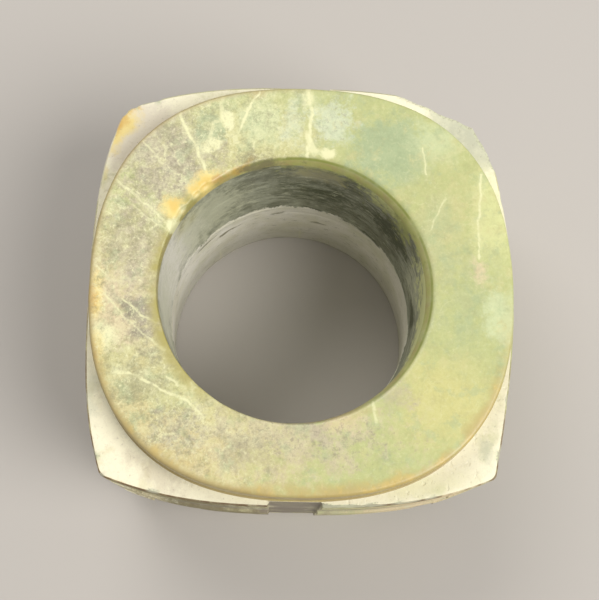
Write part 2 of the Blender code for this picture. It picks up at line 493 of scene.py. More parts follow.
@dataclass(frozen=True)
class Chip:
    """One small flake lost from an edge, cut by a ball that comes in from outside."""

    centre: Point
    radius: float

    @classmethod
    def at(cls, spot: complex, height: float, middle: complex, radius: float, bite: float,
           upward: float = 45.0) -> "Chip":
        """Sets the ball against an edge.

        Args:
            spot: The edge's place seen from above.
            height: The edge's height.
            middle: A place seen from above that the ball comes away from.
            radius: The ball's radius.
            bite: How deep it cuts into the edge.
            upward: Degrees above level from which it comes.

        Returns:
            The chip.
        """
        level = (spot - middle) / abs(spot - middle) * math.cos(math.radians(upward))
        away = radius - bite
        rise = math.sin(math.radians(upward))
        centre = (spot.real + away * level.real, spot.imag + away * level.imag, height + away * rise)
        return cls(centre, radius)

    def cut(self, places: Array) -> Array:
        """Pushes the points inside the ball out onto it, in place, and tells which were moved."""
        away = places - np.array(self.centre)
        length = np.linalg.norm(away, axis=1)
        inside = (length < self.radius) & (length > 1e-6)
        scaled = away[inside] * (self.radius / length[inside])[:, None]
        places[inside] = np.array(self.centre) + scaled
        return inside


@dataclass(frozen=True)
class Chipping:
    """Which flakes are lost: some that the photo shows, and small ones all round.

    A shown flake is given by its place along its edge, its ball's radius and its bite. The place
    is a distance before the front right corner, or an angle in degrees around the mouth.
    """

    front: tuple[Point, ...] = (
        (30.6, 1.7, 0.75), (29.4, 1.5, 0.6), (27.6, 2.6, 0.5), (25.3, 1.6, 0.45),
        (22.4, 2.8, 0.55), (19.8, 1.3, 0.4), (16.9, 2.4, 0.4), (11.8, 1.8, 0.3))
    mouth: tuple[Point, ...] = (
        (227, 1.2, 0.5), (131, 2.4, 0.7), (136, 1.7, 0.6), (146, 2.6, 0.7), (151, 1.5, 0.6),
        (119, 1.6, 0.35), (108, 1.3, 0.3), (94, 1.4, 0.3), (163, 1.2, 0.25), (320, 1.4, 0.25))
    seed: int = 11
    on_edges: int = 40
    on_collar: int = 8
    corner_share: float = 0.6
    corner_spread: float = 9.0
    farthest: float = 30.0
    upward: float = 35.0
    edge_radii: tuple[float, float] = (0.8, 2.6)
    edge_bites: tuple[float, float] = (0.12, 0.4)
    collar_radii: tuple[float, float] = (0.7, 1.8)
    collar_bites: tuple[float, float] = (0.1, 0.25)

    def chips(self, body: Body, collar: Collar, bore: Bore, height: float) -> list[Chip]:
        """Works out every flake.

        Args:
            body: The body, whose edges are chipped.
            collar: The collar, whose upper edge is chipped.
            bore: The bore, whose upper mouth is chipped.
            height: The stone's height.

        Returns:
            The flakes.
        """
        flat = np.zeros(1)
        chips = []
        for before, radius, bite in self.front:
            spot = body.place(Corner.FRONT_RIGHT, flat - before, flat)[0]
            chips.append(Chip.at(spot, body.top, 0j, radius, bite))
        picks = np.random.default_rng(self.seed)
        levels = [body.top, body.top, body.bottom]
        for foot in body.tier_feet:
            levels += [foot + body.tier_height, body.bands_foot(foot)]
        for _ in range(self.on_edges):
            corner = Corner(int(picks.integers(len(Corner))))
            by_corner = picks.random() < self.corner_share
            far = self.farthest
            walk = picks.normal(0, self.corner_spread) if by_corner else picks.uniform(-far, far)
            spot = body.place(corner, flat + walk, flat)[0]
            level = levels[int(picks.integers(len(levels)))]
            radius, bite = picks.uniform(*self.edge_radii), picks.uniform(*self.edge_bites)
            upward = -self.upward if level == body.bottom else self.upward
            chips.append(Chip.at(spot, level, 0j, radius, bite, upward))
        for _ in range(self.on_collar):
            spot = collar.place(np.array([picks.uniform(-math.pi, math.pi)]))[0]
            radius, bite = picks.uniform(*self.collar_radii), picks.uniform(*self.collar_bites)
            chips.append(Chip.at(spot, height, collar.centre, radius, bite))
        for turn, radius, bite in self.mouth:
            around = np.array([math.radians(turn)])
            reach = bore.radius(around, height - bore.mouth_edge, height)[0]
            spot = complex(bore.centre + reach * np.exp(1j * around[0]))
            chips.append(Chip.at(spot, height, 2 * spot - bore.centre, radius, bite))
        return chips


@dataclass
class Surface:
    """Points and faces of the stone as they are gathered, before they are welded."""

    places: list[Array] = field(default_factory=list)
    recess: list[Array] = field(default_factory=list)
    faces: list[list[int]] = field(default_factory=list)
    zones: list[int] = field(default_factory=list)
    count: int = 0

    def add_points(self, places: Array, recess: Array | None = None) -> int:
        """Adds points and returns the number of the first one."""
        first = self.count
        self.places.append(places)
        self.recess.append(np.zeros(len(places)) if recess is None else recess)
        self.count += len(places)
        return first

    def add_faces(self, faces: Iterable[Sequence[int]], zone: Zone) -> None:
        """Adds faces of one zone."""
        before = len(self.faces)
        self.faces.extend(list(face) for face in faces)
        self.zones.extend([int(zone)] * (len(self.faces) - before))


@dataclass(frozen=True)
class Mesher:
    """How finely the surface is divided.

    Runs, pitches and distances are in millimetres and turns in degrees. Shares are of the edge,
    the lip or the stroke that the points lie on.
    """

    corner_run: float = 2.4
    corner_columns: int = 9
    near_pitch: float = 1.05
    near_run: float = 14.0
    far_pitch: float = 1.6
    row_pitch: float = 0.95
    line_half: float = 0.13
    least: float = 0.05
    eye_spokes: int = 28
    pupil_shares: tuple[float, ...] = (0.35, 0.7)
    ring_shares: tuple[float, ...] = (-0.8, -0.25, 0.25, 0.8)
    stroke_pitch: float = 0.3
    top_rings: int = 19
    shoulder_rings: int = 6
    edge_turns: tuple[int, ...] = (30, 60, 90)
    foot_turns: tuple[int, ...] = (30, 65)
    collar_clear: float = 0.05
    collar_pitch: float = 1.1
    bore_pitch: float = 1.5
    bore_least: float = 0.12
    lip_shares: tuple[float, ...] = (0.0, 0.02, 0.06, 0.13, 0.24, 0.38, 0.55, 0.75)
    foot_shares: tuple[float, ...] = (0.5, 0.15, 0.0)
    ridge_pitch: float = 0.35
    ridge_rings: int = 5
    least_apart: float = 0.08
    clear_of_fine: float = 0.2
    tolerance: float = 1e-5
    end_clear: float = 0.1
    corner_crowding: float = 1.3
    stroke_sides: tuple[float, ...] = (-1.2, 0.0, 1.2)
    stroke_shares: tuple[float, ...] = (0.0, 0.25, 0.5, 0.75)

    def walks(self, body: Body) -> Array:
        """Columns of one quarter of the outline, as walks from its corner."""
        wall = body.half_chord - body.groove_half
        shares = [step / self.corner_columns for step in range(self.corner_columns)]
        near = [self.corner_run * share ** self.corner_crowding for share in shares]
        near += steps(self.corner_run, self.near_run, self.near_pitch)
        near += steps(self.near_run, wall - 2 * body.slope, self.far_pitch)
        near += [wall + share * body.slope for share in EDGE_SHARES]
        near += steps(wall + 2 * body.slope, body.half_chord, self.far_pitch)
        near = spaced(near, self.least)
        return np.array([-distance for distance in reversed(near)] + near[1:])

    def rows(self, body: Body) -> list[float]:
        """Heights of the rows of a side, close together at each carved edge and line."""
        edges: list[float] = []
        lines: list[float] = []
        for foot in body.tier_feet:
            bands_foot = body.bands_foot(foot)
            edges.append(bands_foot)
            for band in range(body.bands):
                band_foot = bands_foot + band * (body.band + body.gap)
                lines += [band_foot + (line + 1) * body.line_step for line in range(body.lines_in_band)]
                edges += [band_foot, band_foot + body.band]
            edges += [foot + body.tier_height + body.tier_groove]
        low, high = body.bottom + body.edge, body.top - body.edge
        clear = self.end_clear
        found = [edge + share * body.slope for edge in edges for share in EDGE_SHARES]
        found += [line + side * self.line_half for line in lines for side in (-1, 0, 1)]
        found = spaced((row for row in found if low + clear < row < high - clear), self.least)
        filled = [low]
        for row in [*found, high]:
            filled += steps(filled[-1], row, self.row_pitch)[1:]
        return filled

    def eye_points(self, body: Body, middle: complex) -> list[complex]:
        """Rings of points that draw one eye."""
        radii = [share * body.pupil_radius for share in self.pupil_shares]
        radii += [edge + share * body.slope for edge in (body.pupil_radius, body.eye_radius)
                  for share in self.ring_shares]
        radii.append(body.eye_radius + 3 * body.slope)
        turn = 2 * math.pi / self.eye_spokes
        points = [middle + radius * np.exp(1j * turn * (spoke + 0.5 * (number % 2)))
                  for number, radius in enumerate(radii) for spoke in range(self.eye_spokes)]
        return [middle, *points]

    def stroke_points(self, stroke: Sequence[complex]) -> list[complex]:
        """Points along an incised stroke and to both sides of it."""
        points: list[complex] = []
        for start, end in zip(stroke, stroke[1:]):
            ahead = (end - start) / abs(end - start)
            for distance in steps(0.0, abs(end - start), self.stroke_pitch):
                spot = start + ahead * distance
                points += [spot + 1j * ahead * side * self.line_half for side in self.stroke_sides]
        return points


@dataclass(frozen=True)
class FaceStrokes:
    """Incised strokes of a face: a scroll on either half of its nose bar, and eye corners."""

    turns: int = 2
    gap: float = 0.55
    margin: float = 0.55
    scroll_start: float = 1.0
    corner_start: float = 3.2
    corner_length: float = 1.5

    def scroll(self, low: complex, high: complex) -> list[complex]:
        """A square scroll that winds inwards between two opposite corners of a box."""
        left, right = low.real, high.real
        foot, head = low.imag, high.imag
        points = [complex(left, foot)]
        for _ in range(self.turns):
            points += [complex(right, foot), complex(right, head)]
            right -= self.gap
            foot += self.gap
            left += self.gap
            points.append(complex(left, head))
            head -= self.gap
            if head - foot < self.gap:
                break
            points.append(complex(left, foot))
        return points

    def of_face(self, body: Body, foot: float) -> list[list[complex]]:
        """All strokes of the face of one tier, as walks and heights."""
        bar_foot = foot + body.nose_foot + self.margin
        bar_head = bar_foot + body.nose_height - 2 * self.margin
        low = complex(self.scroll_start, bar_foot)
        scroll = self.scroll(low, complex(body.nose_reach - self.margin, bar_head))
        eye = complex(body.eye_from_corner, body.eye_height(foot))
        corners = [[eye + side * self.corner_start, eye + side * (self.corner_start + self.corner_length)]
                   for side in (-1, 1)]
        return [mirrored for stroke in (scroll, *corners)
                for mirrored in (stroke, [complex(-spot.real, spot.imag) for spot in stroke])]


@dataclass
class Cong:
    """The whole carved stone: its form, and the plain mesh that the fine carving starts from."""

    height: float
    body: Body = field(default_factory=Body)
    collar: Collar = field(default_factory=Collar)
    bore: Bore = field(default_factory=Bore)
    broken: BrokenCorner = field(default_factory=BrokenCorner)
    strokes: FaceStrokes = field(default_factory=FaceStrokes)
    mesher: Mesher = field(default_factory=Mesher)
    chipping: Chipping = field(default_factory=Chipping)

    def __post_init__(self) -> None:
        """Works out the columns that every ring of the surface shares."""
        self.walks = self.mesher.walks(self.body)
        outline = self.rim(np.zeros(len(self.walks)))
        self.collar_angle = np.angle(outline - self.collar.centre)
        self.bore_angle = np.angle(outline - self.bore.centre)

    def rim(self, depth: Array) -> Array:
        """The body's whole outline.

        Args:
            depth: The carving's depth at each column of a quarter.

        Returns:
            A place seen from above for every column, anticlockwise.
        """
        return np.concatenate([self.body.place(corner, self.walks, depth)[:-1] for corner in Corner])

    def all_strokes(self) -> list[list[complex]]:
        """The face strokes of every tier, as walks and heights."""
        return [stroke for foot in self.body.tier_feet for stroke in self.strokes.of_face(self.body, foot)]

    def sheet_plan(self) -> tuple[Array, Array, list[Sequence[int]]]:
        """Divides one quarter of the carved side into triangles.

        Returns:
            The walks and the heights of its points, and its faces.
        """
        body, mesher = self.body, self.mesher
        rows = mesher.rows(body)
        fine: list[complex] = []
        coarse = [complex(walk, row) for row in rows for walk in self.walks]
        for foot in body.tier_feet:
            bar_edges = (foot + body.nose_foot, foot + body.nose_foot + body.nose_height)
            low = bar_edges[0] - 3 * body.slope
            high = bar_edges[1] + 3 * body.slope
            reach = body.nose_reach + 3 * body.slope
            spread = [share * body.slope for share in EDGE_SHARES]
            bar_columns = [walk for walk in self.walks if abs(walk) < reach]
            bar_columns += [side * (body.nose_reach + away) for side in (-1, 1) for away in spread]
            bar_rows = [row for row in rows if low < row < high]
            bar_rows += [edge + away for edge in bar_edges for away in spread]
            coarse = [spot for spot in coarse if not (abs(spot.real) < reach and low < spot.imag < high)]
            coarse += [complex(walk, row) for row in spaced(bar_rows, mesher.least)
                       for walk in spaced(bar_columns, 2 * mesher.least)]
            for side in (-1, 1):
                fine += mesher.eye_points(body, complex(side * body.eye_from_corner, body.eye_height(foot)))
        for stroke in self.all_strokes():
            fine += mesher.stroke_points(stroke)
        cells = {(round(spot.real / mesher.least_apart), round(spot.imag / mesher.least_apart)): spot
                 for spot in fine}
        fine = list(cells.values())
        tree = kdtree.KDTree(len(fine))
        for number, spot in enumerate(fine):
            tree.insert((spot.real, spot.imag, 0.0), number)
        tree.balance()
        low, high = rows[0], rows[-1]
        clear = [spot for spot in coarse if spot.imag in (low, high)
                 or tree.find((spot.real, spot.imag, 0.0))[2] > mesher.clear_of_fine]
        flat = [Vector((spot.real, spot.imag)) for spot in clear + fine]
        found = delaunay_2d_cdt(flat, [], [], 0, mesher.tolerance)
        walk, height = np.array([tuple(spot) for spot in found[0]]).T
        return walk, height, found[2]

    def lift(self, outline: Array, height: float | Array) -> Array:
        """Raises places seen from above to a height, as rows of x, y and z."""
        return np.column_stack([outline.real, outline.imag, np.broadcast_to(height, outline.shape)])

    def end_rings(self, upper: bool) -> list[Ring]:
        """Rings from one end of the carved sides to the flat end of the collar.

        Args:
            upper: Whether it is the upper end.

        Returns:
            Each ring's points, and the zone of the faces that lead up to it.
        """
        body, collar, mesher = self.body, self.collar, self.mesher
        up, level, end = (1, body.top, self.height) if upper else (-1, body.bottom, 0.0)
        shoulder, polished = (Zone.SHOULDER, Zone.POLISHED) if upper else (Zone.FOOT, Zone.FOOT)
        edge_height = level - up * body.edge
        depth = body.relief(self.walks, np.full(len(self.walks), edge_height))
        groove = body.groove_share(self.walks)
        rings = []
        for angle in map(math.radians, (0, *mesher.edge_turns)):
            worn = body.edge * (1 - math.cos(angle)) * (1 - groove)
            ring = self.lift(self.rim(depth + worn), edge_height + up * body.edge * math.sin(angle))
            rings.append((self.broken.strip(ring, body)[0], Zone.CARVED))
        outer = rings[-1][0][:, :2] @ (1, 1j)
        room = np.abs(outer - collar.centre) - mesher.collar_clear
        wall = np.abs(collar.place(self.collar_angle) - collar.centre)
        held = np.minimum(wall, room)
        out = np.exp(1j * self.collar_angle)
        foot = collar.centre + np.minimum(wall + collar.foot_curve, room) * out
        for step in range(1, mesher.shoulder_rings + 1):
            share = step / mesher.shoulder_rings
            rings.append((self.lift(outer + (foot - outer) * share, level), shoulder))
        for angle in map(math.radians, mesher.foot_turns):
            radius = np.minimum(wall + collar.foot_curve * (1 - math.sin(angle)), room)
            rise = collar.foot_curve * (1 - math.cos(angle))
            rings.append((self.lift(collar.centre + radius * out, level + up * rise), polished))
        wall_end = end - up * collar.edge
        heights = steps(*sorted((level + up * collar.foot_curve, wall_end)), mesher.collar_pitch)
        for height in heights[::up]:
            rings.append((self.lift(collar.centre + held * out, height), polished))
        for angle in map(math.radians, mesher.edge_turns):
            ring = collar.centre + (held - collar.edge * (1 - math.cos(angle))) * out
            rings.append((self.lift(ring, wall_end + up * collar.edge * math.sin(angle)), polished))
        return rings

    def wall_rings(self) -> list[Ring]:
        """Rings down the bore, from its upper mouth to its foot."""
        bore, mesher = self.bore, self.mesher
        out = np.exp(1j * self.bore_angle)
        spots = [(self.height - share * bore.lip_height, 0.0, Zone.POLISHED) for share in mesher.lip_shares]
        low, high = bore.mouth_edge, self.height - bore.lip_height
        heights = [(height, 0.0) for height in steps(low, high, mesher.bore_pitch)]
        picks = np.random.default_rng(bore.drill_seed)
        for line in range(bore.drill_lines):
            span = (self.height - 2 * bore.lip_height) / bore.drill_lines
            height = bore.lip_height / 2 + span * (line + picks.uniform(0.1, 0.9))
            heights += [(height + side * bore.drill_half, 0.0) for side in (-1, 1)]
            heights.append((height, bore.drill_depth * picks.uniform(0.4, 1.0)))
        heights += [(bore.ridge_height + mesher.ridge_pitch * step, 0.0)
                    for step in range(-mesher.ridge_rings, mesher.ridge_rings + 1)]
        last = spots[-1][0]
        for height, cut in sorted(heights, reverse=True):
            if last - height >= mesher.bore_least or height == bore.mouth_edge:
                spots.append((height, cut, Zone.BORE))
                last = height
        spots += [(bore.mouth_edge * share, 0.0, Zone.FOOT) for share in mesher.foot_shares]
        rings = []
        for height, cut, zone in spots:
            radius = bore.radius(self.bore_angle, height, self.height)
            fading = np.sin(self.bore_angle * 2 + 5 * height) * np.sin(self.bore_angle * 5 + height)
            radius = radius + cut * (0.5 + 0.5 * fading)
            rings.append((self.lift(bore.centre + radius * out, height), zone))
        return rings

    def blend_rings(self, first: Array, last: Array, count: int,
                    zone: Zone) -> list[Ring]:
        """Rings in even steps between two rings, without the first and the last."""
        return [(first + (last - first) * (step / count), zone) for step in range(1, count)]

    def plain_surface(self) -> tuple[Surface, Array]:
        """Builds every face of the stone, before the fine lines are carved.

        Returns:
            The gathered surface, and for each of its points how broken it is.
        """
        surface = Surface()
        walk, height, faces = self.sheet_plan()
        depth = self.body.relief(walk, height)
        for corner in Corner:
            sheet = self.lift(self.body.place(corner, walk, depth), height)
            first = surface.add_points(self.broken.strip(sheet, self.body)[0], depth)
            surface.add_faces(([index + first for index in face] for face in faces), Zone.CARVED)
        upper, wall, lower = self.end_rings(True), self.wall_rings(), self.end_rings(False)
        rings = upper + self.blend_rings(upper[-1][0], wall[0][0], self.mesher.top_rings, Zone.POLISHED)
        rings += wall
        rings += self.blend_rings(wall[-1][0], lower[-1][0], self.mesher.top_rings // 2, Zone.FOOT)
        zones_up = [Zone.FOOT, *(zone for _, zone in reversed(lower[1:]))]
        rings += [(ring, zone) for (ring, _), zone in zip(reversed(lower), zones_up)]
        columns = len(rings[0][0])
        starts = [surface.add_points(ring) for ring, _ in rings]
        following = [(column + 1) % columns for column in range(columns)]
        for before, here, (_, zone) in zip(starts, starts[1:], rings[1:]):
            surface.add_faces(((before + column, before + after, here + after, here + column)
                               for column, after in enumerate(following)), zone)
        places = np.concatenate(surface.places)
        broken = self.broken.strip(places, self.body)[1]
        for chip in self.chipping.chips(self.body, self.collar, self.bore, self.height):
            broken = np.where(chip.cut(places), 1.0, broken)
        surface.places = [places]
        return surface, broken

    def make_plain(self) -> bpy.types.Object:
        """Welds the gathered surface into one closed mesh.

        Returns:
            The object, with its points' and faces' measures as attributes.
        """
        surface, broken = self.plain_surface()
        places = surface.places[0]
        mesh = bpy.data.meshes.new("plain_cong")
        mesh.from_pydata((places * MM).tolist(), [], surface.faces)
        level = places[:, :2] @ (1, 1j)
        from_collar = level - self.collar.centre
        rim = np.abs(self.collar.place(np.angle(from_collar)) - self.collar.centre)
        from_bore = level - self.bore.centre
        mouth = self.bore.radius(np.angle(from_bore), self.height - self.bore.mouth_edge, self.height)
        measures = {"recess": np.concatenate(surface.recess), "broken": broken,
                    "from_rim": rim - np.abs(from_collar), "from_mouth": np.abs(from_bore) - mouth}
        for name, values in measures.items():
            mesh.attributes.new(name, "FLOAT", "POINT").data.foreach_set("value", values.astype(np.float32))
        mesh.attributes.new("zone", "INT", "FACE").data.foreach_set("value", surface.zones)
        shape = bmesh.new()
        shape.from_mesh(mesh)
        bmesh.ops.remove_doubles(shape, verts=shape.verts, dist=WELD)
        bmesh.ops.recalc_face_normals(shape, faces=shape.faces)
        shape.to_mesh(mesh)
        shape.free()
        return add_object(mesh.name, mesh)

    def wire(self, name: str, lines: Iterable[Array], closed: bool) -> bpy.types.Object:
        """Makes an object of bare edges that the carving follows.

        Args:
            name: The object's name.
            lines: Rows of points in millimetres, one array to a line.
            closed: Whether each line ends where it starts.

        Returns:
            The object.
        """
        points: list[list[float]] = []
        edges: list[tuple[int, int]] = []
        for line in lines:
            first = len(points)
            points += (line * MM).tolist()
            edges += [(first + step, first + step + 1) for step in range(len(line) - 1)]
            if closed:
                edges.append((len(points) - 1, first))
        mesh = bpy.data.meshes.new(name)
        mesh.from_pydata(points, edges, [])
        return add_object(name, mesh)

    def outline_wire(self) -> bpy.types.Object:
        """The body's outline at height 0, which each incised line of the bands follows."""
        ring = self.lift(self.rim(np.zeros(len(self.walks))), 0.0)
        return self.wire("outline_wire", [ring], True)

    def stroke_wire(self) -> bpy.types.Object:
        """All strokes of the faces, laid on the carved ground."""
        lines = []
        for corner in Corner:
            for stroke in self.all_strokes():
                dense = np.array([start + (end - start) * share for start, end in zip(stroke, stroke[1:])
                                  for share in self.mesher.stroke_shares] + [stroke[-1]])
                walk, height = dense.real, dense.imag
                depth = self.body.relief(walk, height)
                lines.append(self.lift(self.body.place(corner, walk, depth), height))
        return self.wire("stroke_wire", lines, False)


class NodePad:
    """Places nodes in one tree and wires them.

    What is handed to a node is either another node's socket, which is linked, or plain: a value
    or a tone.
    """

    def __init__(self, tree: Tree) -> None:
        """Starts on a tree."""
        self.tree = tree

    def node(self, kind: str, feeds: dict[str | int, Feed] | None = None,
             **settings: object) -> bpy.types.Node:
        """Adds a node.

        Args:
            kind: The node's type.
            feeds: What goes into its sockets, by name or number.
            **settings: Its own settings.

        Returns:
            The node.
        """
        made = self.tree.nodes.new(kind)
        for name, value in settings.items():
            setattr(made, name, value)
        for key, value in (feeds or {}).items():
            self.feed(made.inputs[key], value)
        return made

    def feed(self, socket: Socket, value: Feed) -> None:
        """Links a socket to another one, or sets its plain value or its tone."""
        if isinstance(value, Socket):
            self.tree.links.new(value, socket)
        else:
            socket.default_value = value.rgba if isinstance(value, Tone) else value

    def math(self, operation: str, *values: Feed, clamp: bool = False) -> Socket:
        """Adds a sum on numbers and returns its result."""
        made = self.node("ShaderNodeMath", dict(enumerate(values)), operation=operation, use_clamp=clamp)
        return made.outputs[0]

    def joined(self, operation: str, values: Iterable[Feed]) -> Socket:
        """Runs one sum from each number to the next and returns the last result."""
        return reduce(lambda result, value: self.math(operation, result, value), values)

    def times(self, *values: Feed) -> Socket:
        """Multiplies numbers."""
        return self.joined("MULTIPLY", values)

    def vector(self, operation: str, *values: Feed) -> Socket:
        """Adds a sum on vectors and returns its result, a number where the sum gives one."""
        made = self.node("ShaderNodeVectorMath", dict(enumerate(values)), operation=operation)
        gives_number = operation in ("LENGTH", "DISTANCE", "DOT_PRODUCT")
        return made.outputs["Value" if gives_number else "Vector"]

    def scaled(self, vector: Feed, scale: Feed) -> Socket:
        """A vector made longer or shorter by a number."""
        return self.node("ShaderNodeVectorMath", {0: vector, "Scale": scale}, operation="SCALE").outputs[0]

    def upright(self, height: Feed) -> Socket:
        """A vector that points straight up."""
        return self.node("ShaderNodeCombineXYZ", {"Z": height}).outputs[0]

    def remap(self, value: Feed, low: Feed, high: Feed, to_low: Feed = 0.0, to_high: Feed = 1.0) -> Socket:
        """Moves a number smoothly from one range to another."""
        feeds = {"Value": value, "From Min": low, "From Max": high, "To Min": to_low, "To Max": to_high}
        return self.node("ShaderNodeMapRange", feeds, interpolation_type="SMOOTHSTEP").outputs["Result"]

    def noise(self, place: Feed, size: float, detail: float, coarse: float, seed: Feed = 0.0,
              output: str = "Fac") -> Socket:
        """Adds random lumps.

        Args:
            place: Where they are looked up.
            size: Their size.
            detail: How many times they are broken up into smaller ones.
            coarse: How much of its strength each time keeps.
            seed: Picks another field of lumps.
            output: The noise's output, a number or a colour.

        Returns:
            The output.
        """
        feeds = {"Vector": place, "W": seed, "Scale": 1 / size, "Detail": detail, "Roughness": coarse}
        return self.node("ShaderNodeTexNoise", feeds, noise_dimensions="4D").outputs[output]

    def mix(self, share: Feed, first: Feed, second: Feed) -> Socket:
        """Mixes two colours, by their share of the second."""
        return self.node("ShaderNodeMix", {0: share, 6: first, 7: second}, data_type="RGBA").outputs[2]

    def measure(self, name: str) -> Socket:
        """A measure that the mesh keeps at its points."""
        return self.node("ShaderNodeAttribute", attribute_name=name).outputs["Fac"]

    def height(self, place: Feed) -> Socket:
        """Height of a place."""
        return self.node("ShaderNodeSeparateXYZ", {0: place}).outputs["Z"]

    def share(self, value: Feed, factor: float) -> Socket:
        """A value times a plain factor, kept between 0 and 1."""
        return self.math("MULTIPLY", value, factor, clamp=True)

    def layers(self, colour: Feed, layers: Iterable[tuple[Feed, Feed]]) -> Feed:
        """Lays colours over a colour, in their order. Each is given after its share."""
        for share, tone in layers:
            colour = self.mix(share, colour, tone)
        return colour

    def give(self, results: dict[str, Feed]) -> Tree:
        """Hands results to the tree's output sockets and returns the tree."""
        self.node("NodeGroupOutput", results)
        return self.tree


def new_tree(name: str, kind: str, inputs: dict[str, str], outputs: dict[str, str]) -> Tree:
    """Starts a node group.

    Args:
        name: The group's name.
        kind: The type of tree.
        inputs: The type of each input socket, by name.
        outputs: The type of each output socket, by name.

    Returns:
        The group, with its sockets but no nodes.
    """
    tree = bpy.data.node_groups.new(name, kind)
    for sockets, way in ((inputs, "INPUT"), (outputs, "OUTPUT")):
        for label, socket_type in sockets.items():
            tree.interface.new_socket(label, in_out=way, socket_type="NodeSocket" + socket_type)
    return tree


